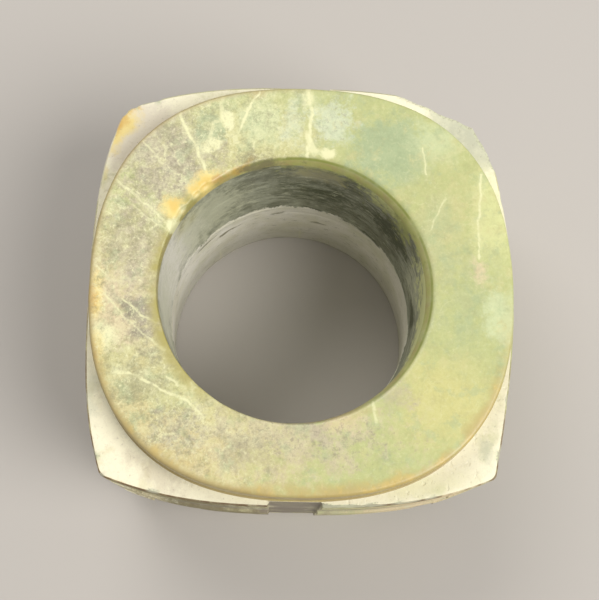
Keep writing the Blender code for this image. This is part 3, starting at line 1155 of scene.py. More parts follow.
@dataclass(frozen=True)
class LineCarving:
    """Geometry Nodes that incise the fine lines and strokes and give the surface its wear."""

    half_width: float = 0.17
    depth: float = 0.13
    fade_size: float = 7.0
    uneven: float = 0.09
    uneven_size: float = 6.5
    pitted: float = 0.035
    pit_size: float = 1.3
    seed: float = 4.0

    def lengths(self, body: Body) -> dict[str, float]:
        """The tree's inputs that are lengths, in millimetres."""
        return {
            "First line": body.bands_foot(body.bottom) + body.line_step, "Line step": body.line_step,
            "Band step": body.band + body.gap, "Tier step": body.tier_step,
            "Line half width": self.half_width, "Line depth": self.depth, "Fade size": self.fade_size,
            "Unevenness": self.uneven, "Uneven size": self.uneven_size, "Pit depth": self.pitted,
            "Pit size": self.pit_size,
        }

    def tree(self, lengths: Iterable[str], counts: Iterable[str]) -> Tree:
        """Builds the tree. All its lengths are in metres.

        Args:
            lengths: Names of its inputs that are lengths.
            counts: Names of its inputs that are whole numbers.

        Returns:
            The tree.
        """
        inputs = {"Geometry": "Geometry", "Outline": "Object", "Strokes": "Object", "Seed": "Float"}
        inputs |= {name: "Float" for name in lengths} | {name: "Int" for name in counts}
        inputs |= {zone.name: "Material" for zone in Zone}
        pad = NodePad(new_tree("carve_fine_lines", "GeometryNodeTree", inputs, {"Geometry": "Geometry"}))
        given = pad.node("NodeGroupInput").outputs
        ring = pad.node("GeometryNodeObjectInfo", {"Object": given["Outline"]}).outputs["Geometry"]
        for count, step in (("Lines in a band", "Line step"), ("Bands in a tier", "Band step"),
                            ("Tiers", "Tier step")):
            feeds = {"Count": given[count], "Offset": pad.upright(given[step])}
            if step == "Line step":
                feeds["Start Location"] = pad.upright(given["First line"])
            spots = pad.node("GeometryNodeMeshLine", feeds, mode="OFFSET").outputs[0]
            ring = pad.node("GeometryNodeInstanceOnPoints", {"Points": spots, "Instance": ring}).outputs[0]
        strokes = pad.node("GeometryNodeObjectInfo", {"Object": given["Strokes"]}).outputs["Geometry"]
        lines = pad.node("GeometryNodeJoinGeometry")
        for part in (ring, strokes):
            pad.feed(lines.inputs[0], part)
        edges = pad.node("GeometryNodeRealizeInstances", {"Geometry": lines.outputs[0]}).outputs[0]
        nearest = pad.node("GeometryNodeProximity", {0: edges}, target_element="EDGES").outputs["Distance"]
        half = given["Line half width"]
        share = pad.remap(nearest, pad.times(half, 0.2), half, 1.0, 0.0)
        place = pad.scaled(pad.node("GeometryNodeInputPosition").outputs[0], 1 / MM)
        fade, lumps, pits = (
            pad.noise(pad.scaled(place, pad.math("DIVIDE", MM, given[size])), 1.0, 2.0, coarse,
                      pad.math("ADD", given["Seed"], shift))
            for size, coarse, shift in (("Fade size", 0.6, 0.0), ("Uneven size", 0.5, 3.0),
                                        ("Pit size", 0.6, 8.0)))
        incised = pad.times(share, pad.remap(fade, 0.3, 0.55, 0.25, 1.0))
        cut = pad.times(incised, given["Line depth"])
        cut = pad.math("MULTIPLY_ADD", pad.remap(lumps, 0.3, 0.75), given["Unevenness"], cut)
        cut = pad.math("MULTIPLY_ADD", pad.remap(pits, 0.5, 0.8), given["Pit depth"], cut)
        offset = pad.scaled(pad.node("GeometryNodeInputNormal").outputs[0], pad.times(cut, -1.0))
        feeds = {"Geometry": given["Geometry"], "Name": "incised", "Value": incised}
        shape = pad.node("GeometryNodeStoreNamedAttribute", feeds).outputs[0]
        shape = pad.node("GeometryNodeSetPosition", {"Geometry": shape, "Offset": offset}).outputs[0]
        shape = pad.node("GeometryNodeRealizeInstances", {"Geometry": shape}).outputs[0]
        zone = pad.node("GeometryNodeInputNamedAttribute", {"Name": "zone"}, data_type="INT").outputs[0]
        for kind in Zone:
            feeds = {2: zone, 3: int(kind)}
            chosen = pad.node("FunctionNodeCompare", feeds, data_type="INT", operation="EQUAL").outputs[0]
            feeds = {"Geometry": shape, "Selection": chosen, "Material": given[kind.name]}
            shape = pad.node("GeometryNodeSetMaterial", feeds).outputs[0]
        return pad.give({"Geometry": shape})

    def carve(self, cong: Cong, finishes: dict[Zone, bpy.types.Material]) -> bpy.types.Object:
        """Carves the fine lines into the plain mesh and dresses each zone.

        Args:
            cong: The stone's form.
            finishes: The material of each zone.

        Returns:
            The finished stone as a plain mesh.
        """
        body = cong.body
        plain, outline, strokes = cong.make_plain(), cong.outline_wire(), cong.stroke_wire()
        lengths = self.lengths(body)
        counts = {"Lines in a band": body.lines_in_band, "Bands in a tier": body.bands, "Tiers": body.tiers}
        values = {"Outline": outline, "Strokes": strokes, "Seed": self.seed} | counts
        values |= {name: length * MM for name, length in lengths.items()}
        values |= {zone.name: finishes[zone] for zone in Zone}
        modifier = plain.modifiers.new("carve fine lines", "NODES")
        modifier.node_group = self.tree(lengths, counts)
        for item in modifier.node_group.interface.items_tree:
            if item.item_type == "SOCKET" and item.in_out == "INPUT" and item.name in values:
                modifier[item.identifier] = values[item.name]
        graph = bpy.context.evaluated_depsgraph_get()
        mesh = bpy.data.meshes.new_from_object(plain.evaluated_get(graph), depsgraph=graph)
        for helper in (plain, outline, strokes):
            bpy.data.objects.remove(helper, do_unlink=True)
        mesh.name = "carved_cong"
        return add_object("carved_cong", mesh)


@dataclass(frozen=True)
class Wash:
    """One soft patch of colour in the stone.

    It covers its full share as far out as its core, a share of its reach, and fades from there.
    """

    tone: Tone
    at: Point
    reach: Point
    share: float
    turn: float = 0.0
    core: float = 0.25
    ragged: float = 1.0


def through(tone: Tone, x: float, y: float, reach_x: float, reach_y: float, *looks: float,
            **more: float) -> Wash:
    """A patch seen from above that goes all the way down through the stone."""
    return Wash(tone, (x, y, HALF_WAY_UP), (reach_x, reach_y, ALL_THROUGH), *looks, **more)


@dataclass(frozen=True)
class Vein:
    """A healed crack through the stone, which stands upright, by its line seen from above."""

    line: tuple[tuple[float, float], ...]
    width: float
    share: float


BODY_WASHES = (
    through(Tone.SAND, -22, -26, 36, 30, 0.95),
    through(Tone.SAND, -34, -2, 20, 24, 0.8),
    through(Tone.STRAW, -14, 24, 26, 18, 0.85),
    through(Tone.DRAB, -26, 24, 13, 12, 0.95, core=0.4),
    through(Tone.DRAB, -31, 6, 9, 13, 0.75),
    through(Tone.HONEY, 25, -22, 14, 12, 0.3),
    through(Tone.PALE_SPRING, 35, 12, 6, 15, 0.8),
    through(Tone.CELADON, 25, 9, 5, 11, 0.7),
    through(Tone.CELADON, 16, 25, 10.5, 9, 0.95, core=0.5),
    through(Tone.PALE_CELADON, 25, 27, 7, 6, 0.75),
    through(Tone.PALE_CELADON, -8.5, 30, 6, 7, 0.7),
    through(Tone.PALE_SPRING, -14, -24, 20, 9, 0.5, ragged=2.6),
    through(Tone.SPRING, -33, -10, 8, 16, 0.6, ragged=2.4),
    through(Tone.SPRING, -24, -20, 12, 10, 0.6, ragged=2.2),
    through(Tone.GREIGE, -4, -28, 26, 11, 0.6, core=0.1, ragged=2.4),
    through(Tone.GREIGE, -29, -4, 12, 18, 0.55, core=0.1, ragged=2.2),
    through(Tone.GREIGE, -26, 20, 15, 14, 0.5, core=0.1, ragged=2.4),
    through(Tone.DRAB, -29, -20, 8, 7, 0.55, ragged=2.0),
    through(Tone.DRAB, -9, -31.5, 7, 5, 0.5, ragged=2.0),
    through(Tone.STRAW, 26, 8, 12, 22, 0.5, core=0.0, ragged=2.6),
    through(Tone.CELADON, 30, -4, 10, 16, 0.4, core=0.0, ragged=2.6),
    through(Tone.FROST, -2.2, 30.5, 3.4, 7, 0.6, core=0.3, ragged=1.8),
    through(Tone.FROST, 5.6, 31, 5.2, 6.6, 0.7, core=0.4, ragged=1.8),
    through(Tone.CREAM, 0.2, 35.5, 1.6, 3.0, 0.7),
    through(Tone.CELADON, -18.4, 29.3, 3.6, 4.6, 0.8, core=0.5, ragged=1.6),
    through(Tone.CREAM, -15.2, 30.8, 1.7, 2.6, 0.95, core=0.5),
    through(Tone.CREAM, -17.4, 25.8, 1.9, 1.3, 0.9, core=0.4),
    through(Tone.PALE_CELADON, 35.5, -7, 4.5, 8, 0.85, core=0.4),
    through(Tone.ROSE_SAND, -35, -6, 8, 11, 0.75, ragged=1.8),
    through(Tone.CREAM, -35.6, -11.4, 3.6, 4.2, 0.9, core=0.3, ragged=1.4),
    through(Tone.HONEY, -37.4, -4.0, 3.0, 6, 0.9),
    through(Tone.HONEY, -37.0, -14.0, 2.8, 5, 0.85),
    through(Tone.OCHRE, -38.2, -4.6, 1.9, 3.4, 0.9, core=0.2),
    through(Tone.OCHRE, -37.2, -15.6, 1.9, 4.4, 0.85, core=0.2),
    through(Tone.AMBER, 8.6, -24.6, 6.5, 1.8, 0.5, turn=16),
    through(Tone.ROSE_SAND, 7.6, -26.2, 5.5, 3.0, 0.6, turn=10),
    through(Tone.RUST, -9.6, 36.2, 2.4, 1.6, 0.35),
    through(Tone.LAVENDER, -28.3, -7.6, 6.0, 2.9, 0.85, turn=-42, core=0.1, ragged=1.8),
    through(Tone.PEAT, -31.4, -6.4, 5.4, 1.2, 0.9, turn=-41, core=0.2, ragged=1.0),
    through(Tone.PEAT, -29.1, -10.8, 3.4, 1.3, 0.9, turn=-19, core=0.2, ragged=1.0),
    through(Tone.ROSE_SAND, 31.8, 2.0, 2.0, 3.6, 0.8, core=0.1, ragged=2.0),
    through(Tone.LAVENDER, -31.8, -0.5, 2.6, 4.6, 0.5, turn=15, core=0.1, ragged=1.6),
    through(Tone.LAVENDER, -24.4, -11.6, 4.6, 2.6, 0.65, turn=-30, core=0.1, ragged=1.8),
    through(Tone.LAVENDER, -22.0, -27.5, 7.0, 5.5, 0.4, core=0.1, ragged=2.0),
    through(Tone.LAVENDER, 3.4, -28.0, 4.0, 3.6, 0.4, core=0.1, ragged=1.8),
    through(Tone.LAVENDER, 16.6, -21.4, 4.2, 4.2, 0.5, core=0.1, ragged=2.0),
)

GROUND_WASHES = BODY_WASHES[:8]

TOP_STAINS = (
    through(Tone.CREAM, 3.6, 24.4, 2.7, 1.5, 0.9, core=0.5),
    through(Tone.CREAM, 0.6, 25.4, 1.1, 2.6, 0.7, core=0.5),
    through(Tone.HONEY, -18.9, 17.9, 4.4, 2.8, 0.95, turn=40, core=0.3),
    through(Tone.SAFFRON, -19.4, 17.6, 2.6, 1.7, 0.8, turn=40, core=0.2),
    through(Tone.RUST, -16.6, 18.6, 1.9, 0.9, 0.6, turn=45, core=0.2),
    through(Tone.HONEY, -24.2, 13.3, 3.3, 2.6, 0.95, turn=20, core=0.3),
    through(Tone.SAFFRON, -23.6, 13.9, 2.0, 1.6, 0.8, turn=30, core=0.2),
    through(Tone.CREAM, -24.4, 10.2, 2.1, 1.8, 0.95, core=0.5),
    through(Tone.OCHRE, -12.6, 21.6, 4.6, 0.8, 0.7, turn=30, core=0.2),
    Wash(Tone.SOOT, (-9.5, 22.4, 44.9), (6.5, 3.0, 1.8), 0.85, core=0.4, ragged=1.6),
)

VEINS = (
    Vein(((-23.9, 32.3), (-22.7, 29.3), (-20.0, 24.3), (-17.7, 17.7)), 0.42, 0.95),
    Vein(((-21.1, 26.5), (-19.3, 25.1), (-17.9, 26.3), (-17.4, 29.8), (-15.8, 30.7), (-15.9, 35.0)),
         0.6, 0.6),
    Vein(((-8.8, 36.7), (-11.0, 32.9), (-12.5, 28.1)), 0.36, 0.9),
    Vein(((-9.6, 26.0), (-9.6, 23.1)), 0.25, 0.6),
    Vein(((-30.9, 26.6), (-26.4, 21.3)), 0.3, 0.6),
    Vein(((-35.1, 18.1), (-30.3, 14.3), (-26.6, 11.1), (-24.3, 9.0)), 0.34, 0.75),
    Vein(((-31.6, 13.2), (-27.6, 9.9), (-25.2, 8.6)), 0.22, 0.55),
    Vein(((-38.6, -1.6), (-35.2, -4.3), (-31.2, -8.6), (-27.6, -11.7)), 0.26, 0.55),
    Vein(((-32.6, -4.6), (-28.9, -7.5), (-26.3, -9.1)), 0.3, 0.8),
    Vein(((-27.6, -11.7), (-24.1, -14.1)), 0.36, 0.8),
    Vein(((-33.0, -17.9), (-30.2, -18.2), (-27.2, -19.7), (-22.7, -21.8), (-20.1, -22.8), (-17.5, -25.4)),
         0.36, 0.9),
    Vein(((-23.9, -18.8), (-20.3, -20.7)), 0.3, 0.7),
    Vein(((0.3, 37.6), (1.0, 32.6), (0.8, 26.8), (0.1, 22.8)), 0.5, 0.95),
    Vein(((22.1, 25.6), (22.6, 20.6)), 0.28, 0.7),
    Vein(((33.1, 20.8), (32.0, 10.9), (32.1, 4.2)), 0.34, 0.75),
    Vein(((26.2, 15.9), (23.1, 9.5)), 0.3, 0.6),
    Vein(((12.4, -22.5), (12.9, -26.0)), 0.42, 0.6),
)

SHOULDER_WASHES = (
    through(Tone.PEARL, -33, 31, 10, 10, 0.9, core=0.5),
    through(Tone.HONEY, -36.4, 30.8, 4.2, 8.0, 0.9, turn=-35, core=0.3),
    through(Tone.OCHRE, -37.0, 31.8, 2.4, 5.0, 0.85, turn=-35, core=0.2),
    through(Tone.OCHRE, -34.4, 35.0, 1.8, 4.0, 0.7, turn=-50),
    through(Tone.HONEY, -38.6, 23, 1.5, 5, 0.4),
    through(Tone.CHALK_GREY, 32, 31, 11, 11, 0.8, core=0.6),
    through(Tone.ASH, 33, 32, 8, 8, 0.5, ragged=1.6),
    through(Tone.CREAM, 35, 20, 5, 8, 0.5),
    through(Tone.CREAM, 22, -36.5, 10, 3, 0.5, turn=12),
    through(Tone.GREIGE, -26, -35, 9, 3, 0.4, turn=-30, ragged=2.0),
    through(Tone.GREIGE, 28, -34, 8, 3.5, 0.1, turn=28, ragged=2.0),
    through(Tone.CHALK_GREY, 33.5, -30.5, 2.4, 3.0, 0.7, ragged=1.5),
    through(Tone.CHALK_GREY, -37.5, -20, 2.4, 8, 0.5, ragged=1.6),
    through(Tone.BROWN, -36.4, -35.4, 3.0, 1.2, 0.85, turn=-30),
    through(Tone.OCHRE, -34, -36.6, 4, 1.0, 0.5, turn=-20),
)

SIDE_WASHES = (
    # The soot and brown patches on the front face and the peat patch in its groove are painted shade.
    through(Tone.SOOT, -20, -41, 22, 5, 0.8, ragged=2.0),
    through(Tone.BROWN, -18, -41, 18, 4, 0.35, core=0.0, ragged=2.4),
    through(Tone.ROSE_SAND, 24, -39, 17, 5, 0.8, ragged=1.5),
    through(Tone.PEAT, -1, -40, 7, 5, 0.8, core=0.3, ragged=2.2),
    through(Tone.PEARL, -37, 24, 6, 14, 0.6, ragged=1.5),
    through(Tone.OCHRE, -36, 33, 6, 5, 0.6, ragged=1.6),
    through(Tone.CHALK_GREY, 35, 33, 9, 9, 0.6, ragged=1.5),
    through(Tone.SPRING, 40, -8, 5, 20, 0.5, ragged=2.0),
    through(Tone.PEAT, 12, 41, 18, 5, 0.35, ragged=2.0),
)

BORE_WASHES = (
    # These two pale patches on the left wall are partly its own paler colour, partly painted light.
    Wash(Tone.PALE_ASH, (-24, 2, 34), (14, 18, 18), 0.9, core=0.4),
    Wash(Tone.CHALK_GREY, (-26, -6, 34), (6, 14, 18), 0.6),
    Wash(Tone.STRAW, (-22, 12, 41), (5, 6, 5), 0.5),
    Wash(Tone.CHALK_GREY, (23, 3, 34), (5, 11, 9), 0.75, core=0.3, ragged=1.6),
    Wash(Tone.MOSS, (17, 13, 35.5), (7, 8.5, 6), 0.95, core=0.5, ragged=1.6),
    Wash(Tone.MOSS, (5, 22, 34), (10, 6, 7), 0.9, ragged=1.8),
    Wash(Tone.MOSS, (22.4, -3, 28.5), (3, 7, 3.2), 0.9, core=0.4, ragged=1.2),
    Wash(Tone.CHALK_GREY, (-18, 15, 34), (11, 12, 14), 0.7, core=0.4, ragged=1.4),
    Wash(Tone.SLATE, (-8, 22, 40), (5, 5, 2.5), 0.4, ragged=1.8),
    Wash(Tone.SOOT, (-9, 22, 45.4), (5, 5, 2.6), 0.8, core=0.3, ragged=1.2),
    Wash(Tone.ASH, (2, 22, 35.5), (5, 4, 1.4), 0.5, ragged=1.6),
)

LIP_WASHES = (
    Wash(Tone.PALE_SPRING, (23, -6, 46), (9, 16, 13), 0.95, core=0.5, ragged=2.0),
    Wash(Tone.LICHEN, (18, 14, 46), (12, 12, 8.5), 0.95, core=0.3, ragged=2.6),
    Wash(Tone.PALE_SPRING, (14.5, 15.5, 44.5), (6, 6, 5), 0.8, core=0.3, ragged=2.4),
    Wash(Tone.LICHEN, (4, 23, 46), (12, 6, 6.0), 0.8, core=0.2, ragged=2.4),
    Wash(Tone.DRAB, (3, 23, 41.5), (8, 6, 4.5), 0.8, core=0.2, ragged=1.5),
    Wash(Tone.OCHRE, (-16, 18, 46), (12, 10, 2.4), 0.5, core=0.1, ragged=1.5),
)

RIDGE_MARKS = (
    Wash(Tone.SOOT, (-15.6, 18, 17.2), (4, 4, 1.1), 0.9, core=0.3, ragged=1.2),
    Wash(Tone.SOOT, (-20, 14.5, 20.4), (3.5, 4, 0.9), 0.8, core=0.3, ragged=1.2),
    Wash(Tone.SOOT, (-5.1, 22.2, 19.4), (2.4, 2.5, 0.8), 0.9, core=0.3, ragged=1.2),
    Wash(Tone.SOOT, (4.4, 21.5, 14), (2.2, 2.5, 0.8), 0.7, core=0.3, ragged=1.2),
)

FLECKED = (
    through(Tone.PEAT, -28.0, -8.0, 6.5, 4.5, 0.75, turn=-40),
    through(Tone.PEAT, -22.0, -27.0, 9.0, 8.0, 0.3),
    through(Tone.PEAT, 5.6, 31.5, 5.5, 6.5, 0.25, core=0.6),
    through(Tone.PEAT, -26.0, 20.0, 14.0, 16.0, 0.35),
    through(Tone.PEAT, 2.0, -29.0, 24.0, 8.0, 0.35),
)


class StonePad(NodePad):
    """A node pad with the stone's own marks."""

    def __init__(self, tree: Tree, groups: "StoneGroups") -> None:
        """Starts on a tree, with the groups that it may place."""
        super().__init__(tree)
        self.groups = groups
        self.edges: dict[Socket, tuple[Socket, Socket]] = {}

    def group(self, tree: Tree, **feeds: Feed) -> Outputs:
        """Places a shared group, fed by the names of its sockets, and returns its outputs."""
        return self.node("ShaderNodeGroup", feeds, node_tree=tree).outputs

    def ragged_place(self, place: Socket) -> tuple[Socket, Socket]:
        """Places shaken by lumps, and a ragged number, which patches share for their edges."""
        if place not in self.edges:
            shake = self.vector("SUBTRACT", self.noise(place, 7.0, 4.0, 0.55, 20.0, "Color"), MIDDLE)
            shaken = self.vector("MULTIPLY_ADD", shake, (6.0, 6.0, 6.0), place)
            ragged = self.noise(place, 2.0, 5.0, 0.72, 31.0)
            self.edges[place] = (shaken, self.times(self.math("SUBTRACT", ragged, 0.5), 1.4))
        return self.edges[place]

    def patch(self, place: Socket, wash: Wash) -> Socket:
        """The share that one patch has at each place."""
        shaken, ragged = self.ragged_place(place)
        if wash.ragged != 1.0:
            ragged = self.times(ragged, wash.ragged)
        return self.group(self.groups.patch, Place=shaken, Ragged=ragged, Centre=wash.at, Reach=wash.reach,
                          Turn=wash.turn, Core=wash.core, Strength=wash.share)[0]

    def washes(self, colour: Feed, place: Socket, washes: Iterable[Wash]) -> Feed:
        """Lays patches of colour over a colour, in their order."""
        return self.layers(colour, ((self.patch(place, wash), wash.tone) for wash in washes))

    def facing(self, place: Socket, turn: float, low: float, high: float, least: float = 0.0,
               most: float = 1.0) -> Socket:
        """Rises on the side of the stone that lies in a direction, given in degrees."""
        flat = self.vector("NORMALIZE", self.vector("MULTIPLY", place, LEVEL))
        aim = (math.cos(math.radians(turn)), math.sin(math.radians(turn)), 0.0)
        return self.remap(self.vector("DOT_PRODUCT", flat, aim), low, high, least, most)


def start_group(name: str, places: Iterable[str], numbers: Iterable[str], output: str) -> (
        tuple[NodePad, Outputs]):
    """Starts a shader group.

    Args:
        name: The group's name.
        places: Names of its inputs that are places.
        numbers: Names of its inputs that are numbers.
        output: Name of its output, a number.

    Returns:
        A pad on the group, and what the group is given.
    """
    inputs = {label: "Vector" for label in places} | {label: "Float" for label in numbers}
    pad = NodePad(new_tree(name, "ShaderNodeTree", inputs, {output: "Float"}))
    return pad, pad.node("NodeGroupInput").outputs


def start_pattern(name: str, numbers: Iterable[str], output: str) -> (
        tuple[NodePad, Outputs, Socket]):
    """Starts a shader group as above, for a pattern of a size, and gives its place over its size."""
    pad, given = start_group(name, ("Place",), ("Size", *numbers), output)
    return pad, given, pad.scaled(given["Place"], pad.math("DIVIDE", 1.0, given["Size"]))


class StoneGroups:
    """Shader groups that the finishes share, each built once. Places are in millimetres."""

    def __init__(self) -> None:
        """Builds every group."""
        self.patch = self.build_patch()
        self.crack = self.build_crack()
        self.clouds = self.build_clouds()
        self.flecks = self.build_flecks()
        self.grain = self.build_grain()
        self.web = self.build_web()
        self.stone = self.build_stone("jade_body", BODY_WASHES)
        self.ground = self.build_stone("jade_ground", GROUND_WASHES)

    def build_patch(self) -> Tree:
        """A soft patch around a centre, with a ragged edge."""
        pad, given = start_group("soft_patch", ("Place", "Centre", "Reach"),
                                 ("Turn", "Core", "Ragged", "Strength"), "Share")
        away = pad.vector("SUBTRACT", given["Place"], given["Centre"])
        feeds = {"Vector": away, "Angle": pad.times(given["Turn"], -math.pi / 180)}
        turned = pad.node("ShaderNodeVectorRotate", feeds, rotation_type="Z_AXIS").outputs[0]
        length = pad.vector("LENGTH", pad.vector("DIVIDE", turned, given["Reach"]))
        share = pad.remap(pad.math("ADD", length, given["Ragged"]), 1.0, given["Core"])
        return pad.give({"Share": pad.times(share, given["Strength"])})

    def build_crack(self) -> Tree:
        """A thin straight stretch of a vein and its faint halo, between two places seen from above."""
        pad, given = start_group("vein_stretch", ("Place", "Start", "End"), ("Width", "Strength"), "Share")
        run = pad.vector("SUBTRACT", given["End"], given["Start"])
        away = pad.vector("SUBTRACT", given["Place"], given["Start"])
        squared = pad.vector("DOT_PRODUCT", run, run)
        along = pad.math("DIVIDE", pad.vector("DOT_PRODUCT", away, run), squared, clamp=True)
        distance = pad.vector("DISTANCE", away, pad.scaled(run, along))
        line = pad.remap(distance, given["Width"], pad.times(given["Width"], 0.25))
        halo = pad.remap(distance, pad.times(given["Width"], 4.0), 0.0)
        share = pad.math("MULTIPLY_ADD", halo, 0.22, pad.times(line, 0.78))
        return pad.give({"Share": pad.times(share, given["Strength"])})

    def build_clouds(self) -> Tree:
        """Lumps of two sizes, as one number around 0."""
        pad, given, place = start_pattern("stone_clouds", ("Seed",), "Cloud")
        broad = pad.noise(place, 1.0, 4.0, 0.62, given["Seed"])
        fine = pad.noise(place, 0.28, 3.0, 0.6, pad.math("ADD", given["Seed"], 5.0))
        both = pad.math("SUBTRACT", pad.math("MULTIPLY_ADD", fine, 0.6, broad), 0.8)
        return pad.give({"Cloud": pad.times(both, 1.6)})

    def build_flecks(self) -> Tree:
        """Small separate grains, which gather where the crowding is high."""
        pad, given, place = start_pattern("stone_flecks", ("Crowding", "Seed"), "Fleck")
        lumps = pad.noise(place, 1.0, 4.0, 0.7, given["Seed"])
        edge = pad.remap(given["Crowding"], 0.0, 1.0, 0.7, 0.36)
        return pad.give({"Fleck": pad.remap(lumps, edge, pad.math("ADD", edge, 0.2))})

    def build_web(self) -> Tree:
        """A net of hairline cracks that stand upright in the stone and fade in and out."""
        pad, given, place = start_pattern("hairline_web", ("Width", "Seed"), "Web")
        feeds = {"Vector": place, "Scale": 1.0}
        cells = pad.node("ShaderNodeTexVoronoi", feeds, feature="DISTANCE_TO_EDGE")
        width = pad.math("DIVIDE", given["Width"], given["Size"])
        line = pad.remap(cells.outputs["Distance"], width, pad.times(width, 0.3))
        fade = pad.remap(pad.noise(place, 0.8, 3.0, 0.6, given["Seed"]), 0.5, 0.64)
        return pad.give({"Web": pad.times(line, fade)})

    def build_grain(self) -> Tree:
        """Height of the surface's fine grain, its pits and its rubbing marks."""
        pad, given, place = start_pattern("stone_grain", ("Pits", "Rubbing"), "Height")
        grain = pad.noise(place, 1.0, 3.0, 0.6)
        pits = pad.remap(pad.noise(place, 1.7, 2.0, 0.5, 3.0), 0.6, 0.72)
        marks = pad.noise(pad.vector("MULTIPLY", place, (0.18, 1.6, 1.0)), 0.7, 2.0, 0.5, 6.0)
        height = pad.math("SUBTRACT", grain, pad.times(pits, given["Pits"]))
        return pad.give({"Height": pad.math("MULTIPLY_ADD", marks, given["Rubbing"], height)})

    def build_stone(self, name: str, washes: Sequence[Wash]) -> Tree:
        """The body of the stone: its broad colours, clouds, flecks, hairlines, grit and veins."""
        inputs = {"Place": "Vector", "Clouding": "Float", "Flecking": "Float", "Veining": "Float"}
        outputs = {"Color": "Color", "Vein": "Float", "Cloud": "Float"}
        pad = StonePad(new_tree(name, "ShaderNodeTree", inputs, outputs), self)
        given = pad.node("NodeGroupInput").outputs
        place = given["Place"]
        colour = pad.washes(Tone.SPRING, place, washes)
        cloud = pad.group(self.clouds, Place=place, Size=2.6, Seed=1.0)[0]
        fine = pad.group(self.clouds, Place=place, Size=0.85, Seed=9.0)[0]
        islands = pad.remap(pad.noise(place, 3.4, 5.0, 0.68, 41.0), 0.42, 0.58, -0.22, 0.22)
        lively = pad.times(pad.facing(place, LIVELY_TURN, -0.3, 0.6, 0.45, 1.7), given["Clouding"])
        cloud = pad.times(pad.joined("ADD", (fine, cloud, islands)), lively)
        hue = pad.noise(place, 3.2, 5.0, 0.65, 51.0)
        crowd = pad.math("ADD", pad.joined("ADD", (pad.patch(place, wash) for wash in FLECKED)), 0.3)
        dark = pad.group(self.flecks, Place=place, Size=0.7, Seed=2.0, Crowding=crowd)[0]
        pale = pad.group(self.flecks, Place=place, Size=0.8, Seed=12.0, Crowding=0.52)[0]
        flat = pad.vector("MULTIPLY", place, LEVEL)
        wander = pad.vector("SUBTRACT", pad.noise(flat, 2.2, 3.0, 0.6, 4.0, "Color"), MIDDLE)
        web_place = pad.vector("MULTIPLY_ADD", wander, (5.0, 5.0, 0.0), flat)
        web = pad.group(self.web, Place=web_place, Size=9.0, Width=0.22, Seed=2.0)[0]
        fine_web = pad.group(self.web, Place=web_place, Size=4.0, Width=0.18, Seed=8.0)[0]
        web = pad.times(pad.math("MAXIMUM", web, fine_web), lively)
        grit = pad.times(pad.math("SUBTRACT", pad.noise(place, 0.5, 3.0, 0.75, 14.0), 0.5), lively)
        flat = pad.vector("MULTIPLY_ADD", wander, (1.5, 1.5, 0.0), flat)
        stretches = (pad.group(self.crack, Place=flat, Start=(*start, 0.0), End=(*end, 0.0),
                               Width=vein.width, Strength=vein.share)[0]
                     for vein in VEINS for start, end in zip(vein.line, vein.line[1:]))
        vein = pad.joined("MAXIMUM", stretches)
        thin = pad.remap(pad.noise(place, 1.1, 2.0, 0.6, 7.0), 0.3, 0.6, 0.35, 1.0)
        vein = pad.times(vein, thin, given["Veining"])
        colour = pad.layers(colour, (
            (pad.remap(hue, 0.52, 0.66, 0.0, 0.5), Tone.STRAW),
            (pad.remap(hue, 0.48, 0.34, 0.0, 0.45), Tone.CELADON),
            (pad.share(cloud, 0.7), Tone.CREAM),
            (pad.share(cloud, -1.1), Tone.SOOT),
            (pad.share(pad.times(dark, given["Flecking"]), 0.75), Tone.PEAT),
            (pad.share(pad.times(pale, lively), 0.9), Tone.CREAM),
            (pad.share(web, 0.6), Tone.CREAM),
            (pad.share(grit, 1.8), Tone.CREAM),
            (pad.share(grit, -1.8), Tone.SOOT),
            (vein, Tone.CREAM),
        ))
        return pad.give({"Color": colour, "Vein": vein, "Cloud": cloud})


@dataclass(frozen=True)
class StoneFinish:
    """One finish of the stone. Each kind paints its own zone of the surface."""

    name: str
    zone: Zone
    roughness: float
    roughness_swing: float
    grain: float
    grain_size: float
    pits: float
    rubbing: float = 0.0
    clouding: float = 0.4
    flecking: float = 0.5
    veining: float = 0.7
    whole: bool = False

    def material(self, groups: StoneGroups) -> bpy.types.Material:
        """Builds the finish's material."""
        made = bpy.data.materials.new(self.name)
        made.use_nodes = True
        pad = StonePad(made.node_tree, groups)
        sockets = made.node_tree.nodes["Principled BSDF"].inputs
        place = pad.scaled(pad.node("ShaderNodeTexCoord").outputs["Object"], 1 / MM)
        stone = pad.group(groups.stone if self.whole else groups.ground, Place=place,
                          Clouding=self.clouding, Flecking=self.flecking, Veining=self.veining)
        pad.feed(sockets["Base Color"], self.paint(pad, place, stone))
        swing = pad.math("MULTIPLY_ADD", stone["Cloud"], -self.roughness_swing, self.roughness)
        pad.feed(sockets["Roughness"], pad.math("MULTIPLY_ADD", stone["Vein"], VEIN_DULLING, swing))
        sockets["IOR"].default_value = STONE_IOR
        height = pad.group(groups.grain, Place=place, Size=self.grain_size, Pits=self.pits,
                           Rubbing=self.rubbing)[0]
        feeds = {"Height": height, "Distance": self.grain * MM, "Strength": 1.0}
        pad.feed(sockets["Normal"], pad.node("ShaderNodeBump", feeds).outputs[0])
        return made

    def paint(self, pad: StonePad, place: Socket, stone: Outputs) -> Feed:
        """Colours the zone.

        Args:
            pad: Where the nodes go.
            place: The place on the stone, in millimetres.
            stone: What the group of the body of the stone gives.

        Returns:
            The colour.
        """
        raise NotImplementedError


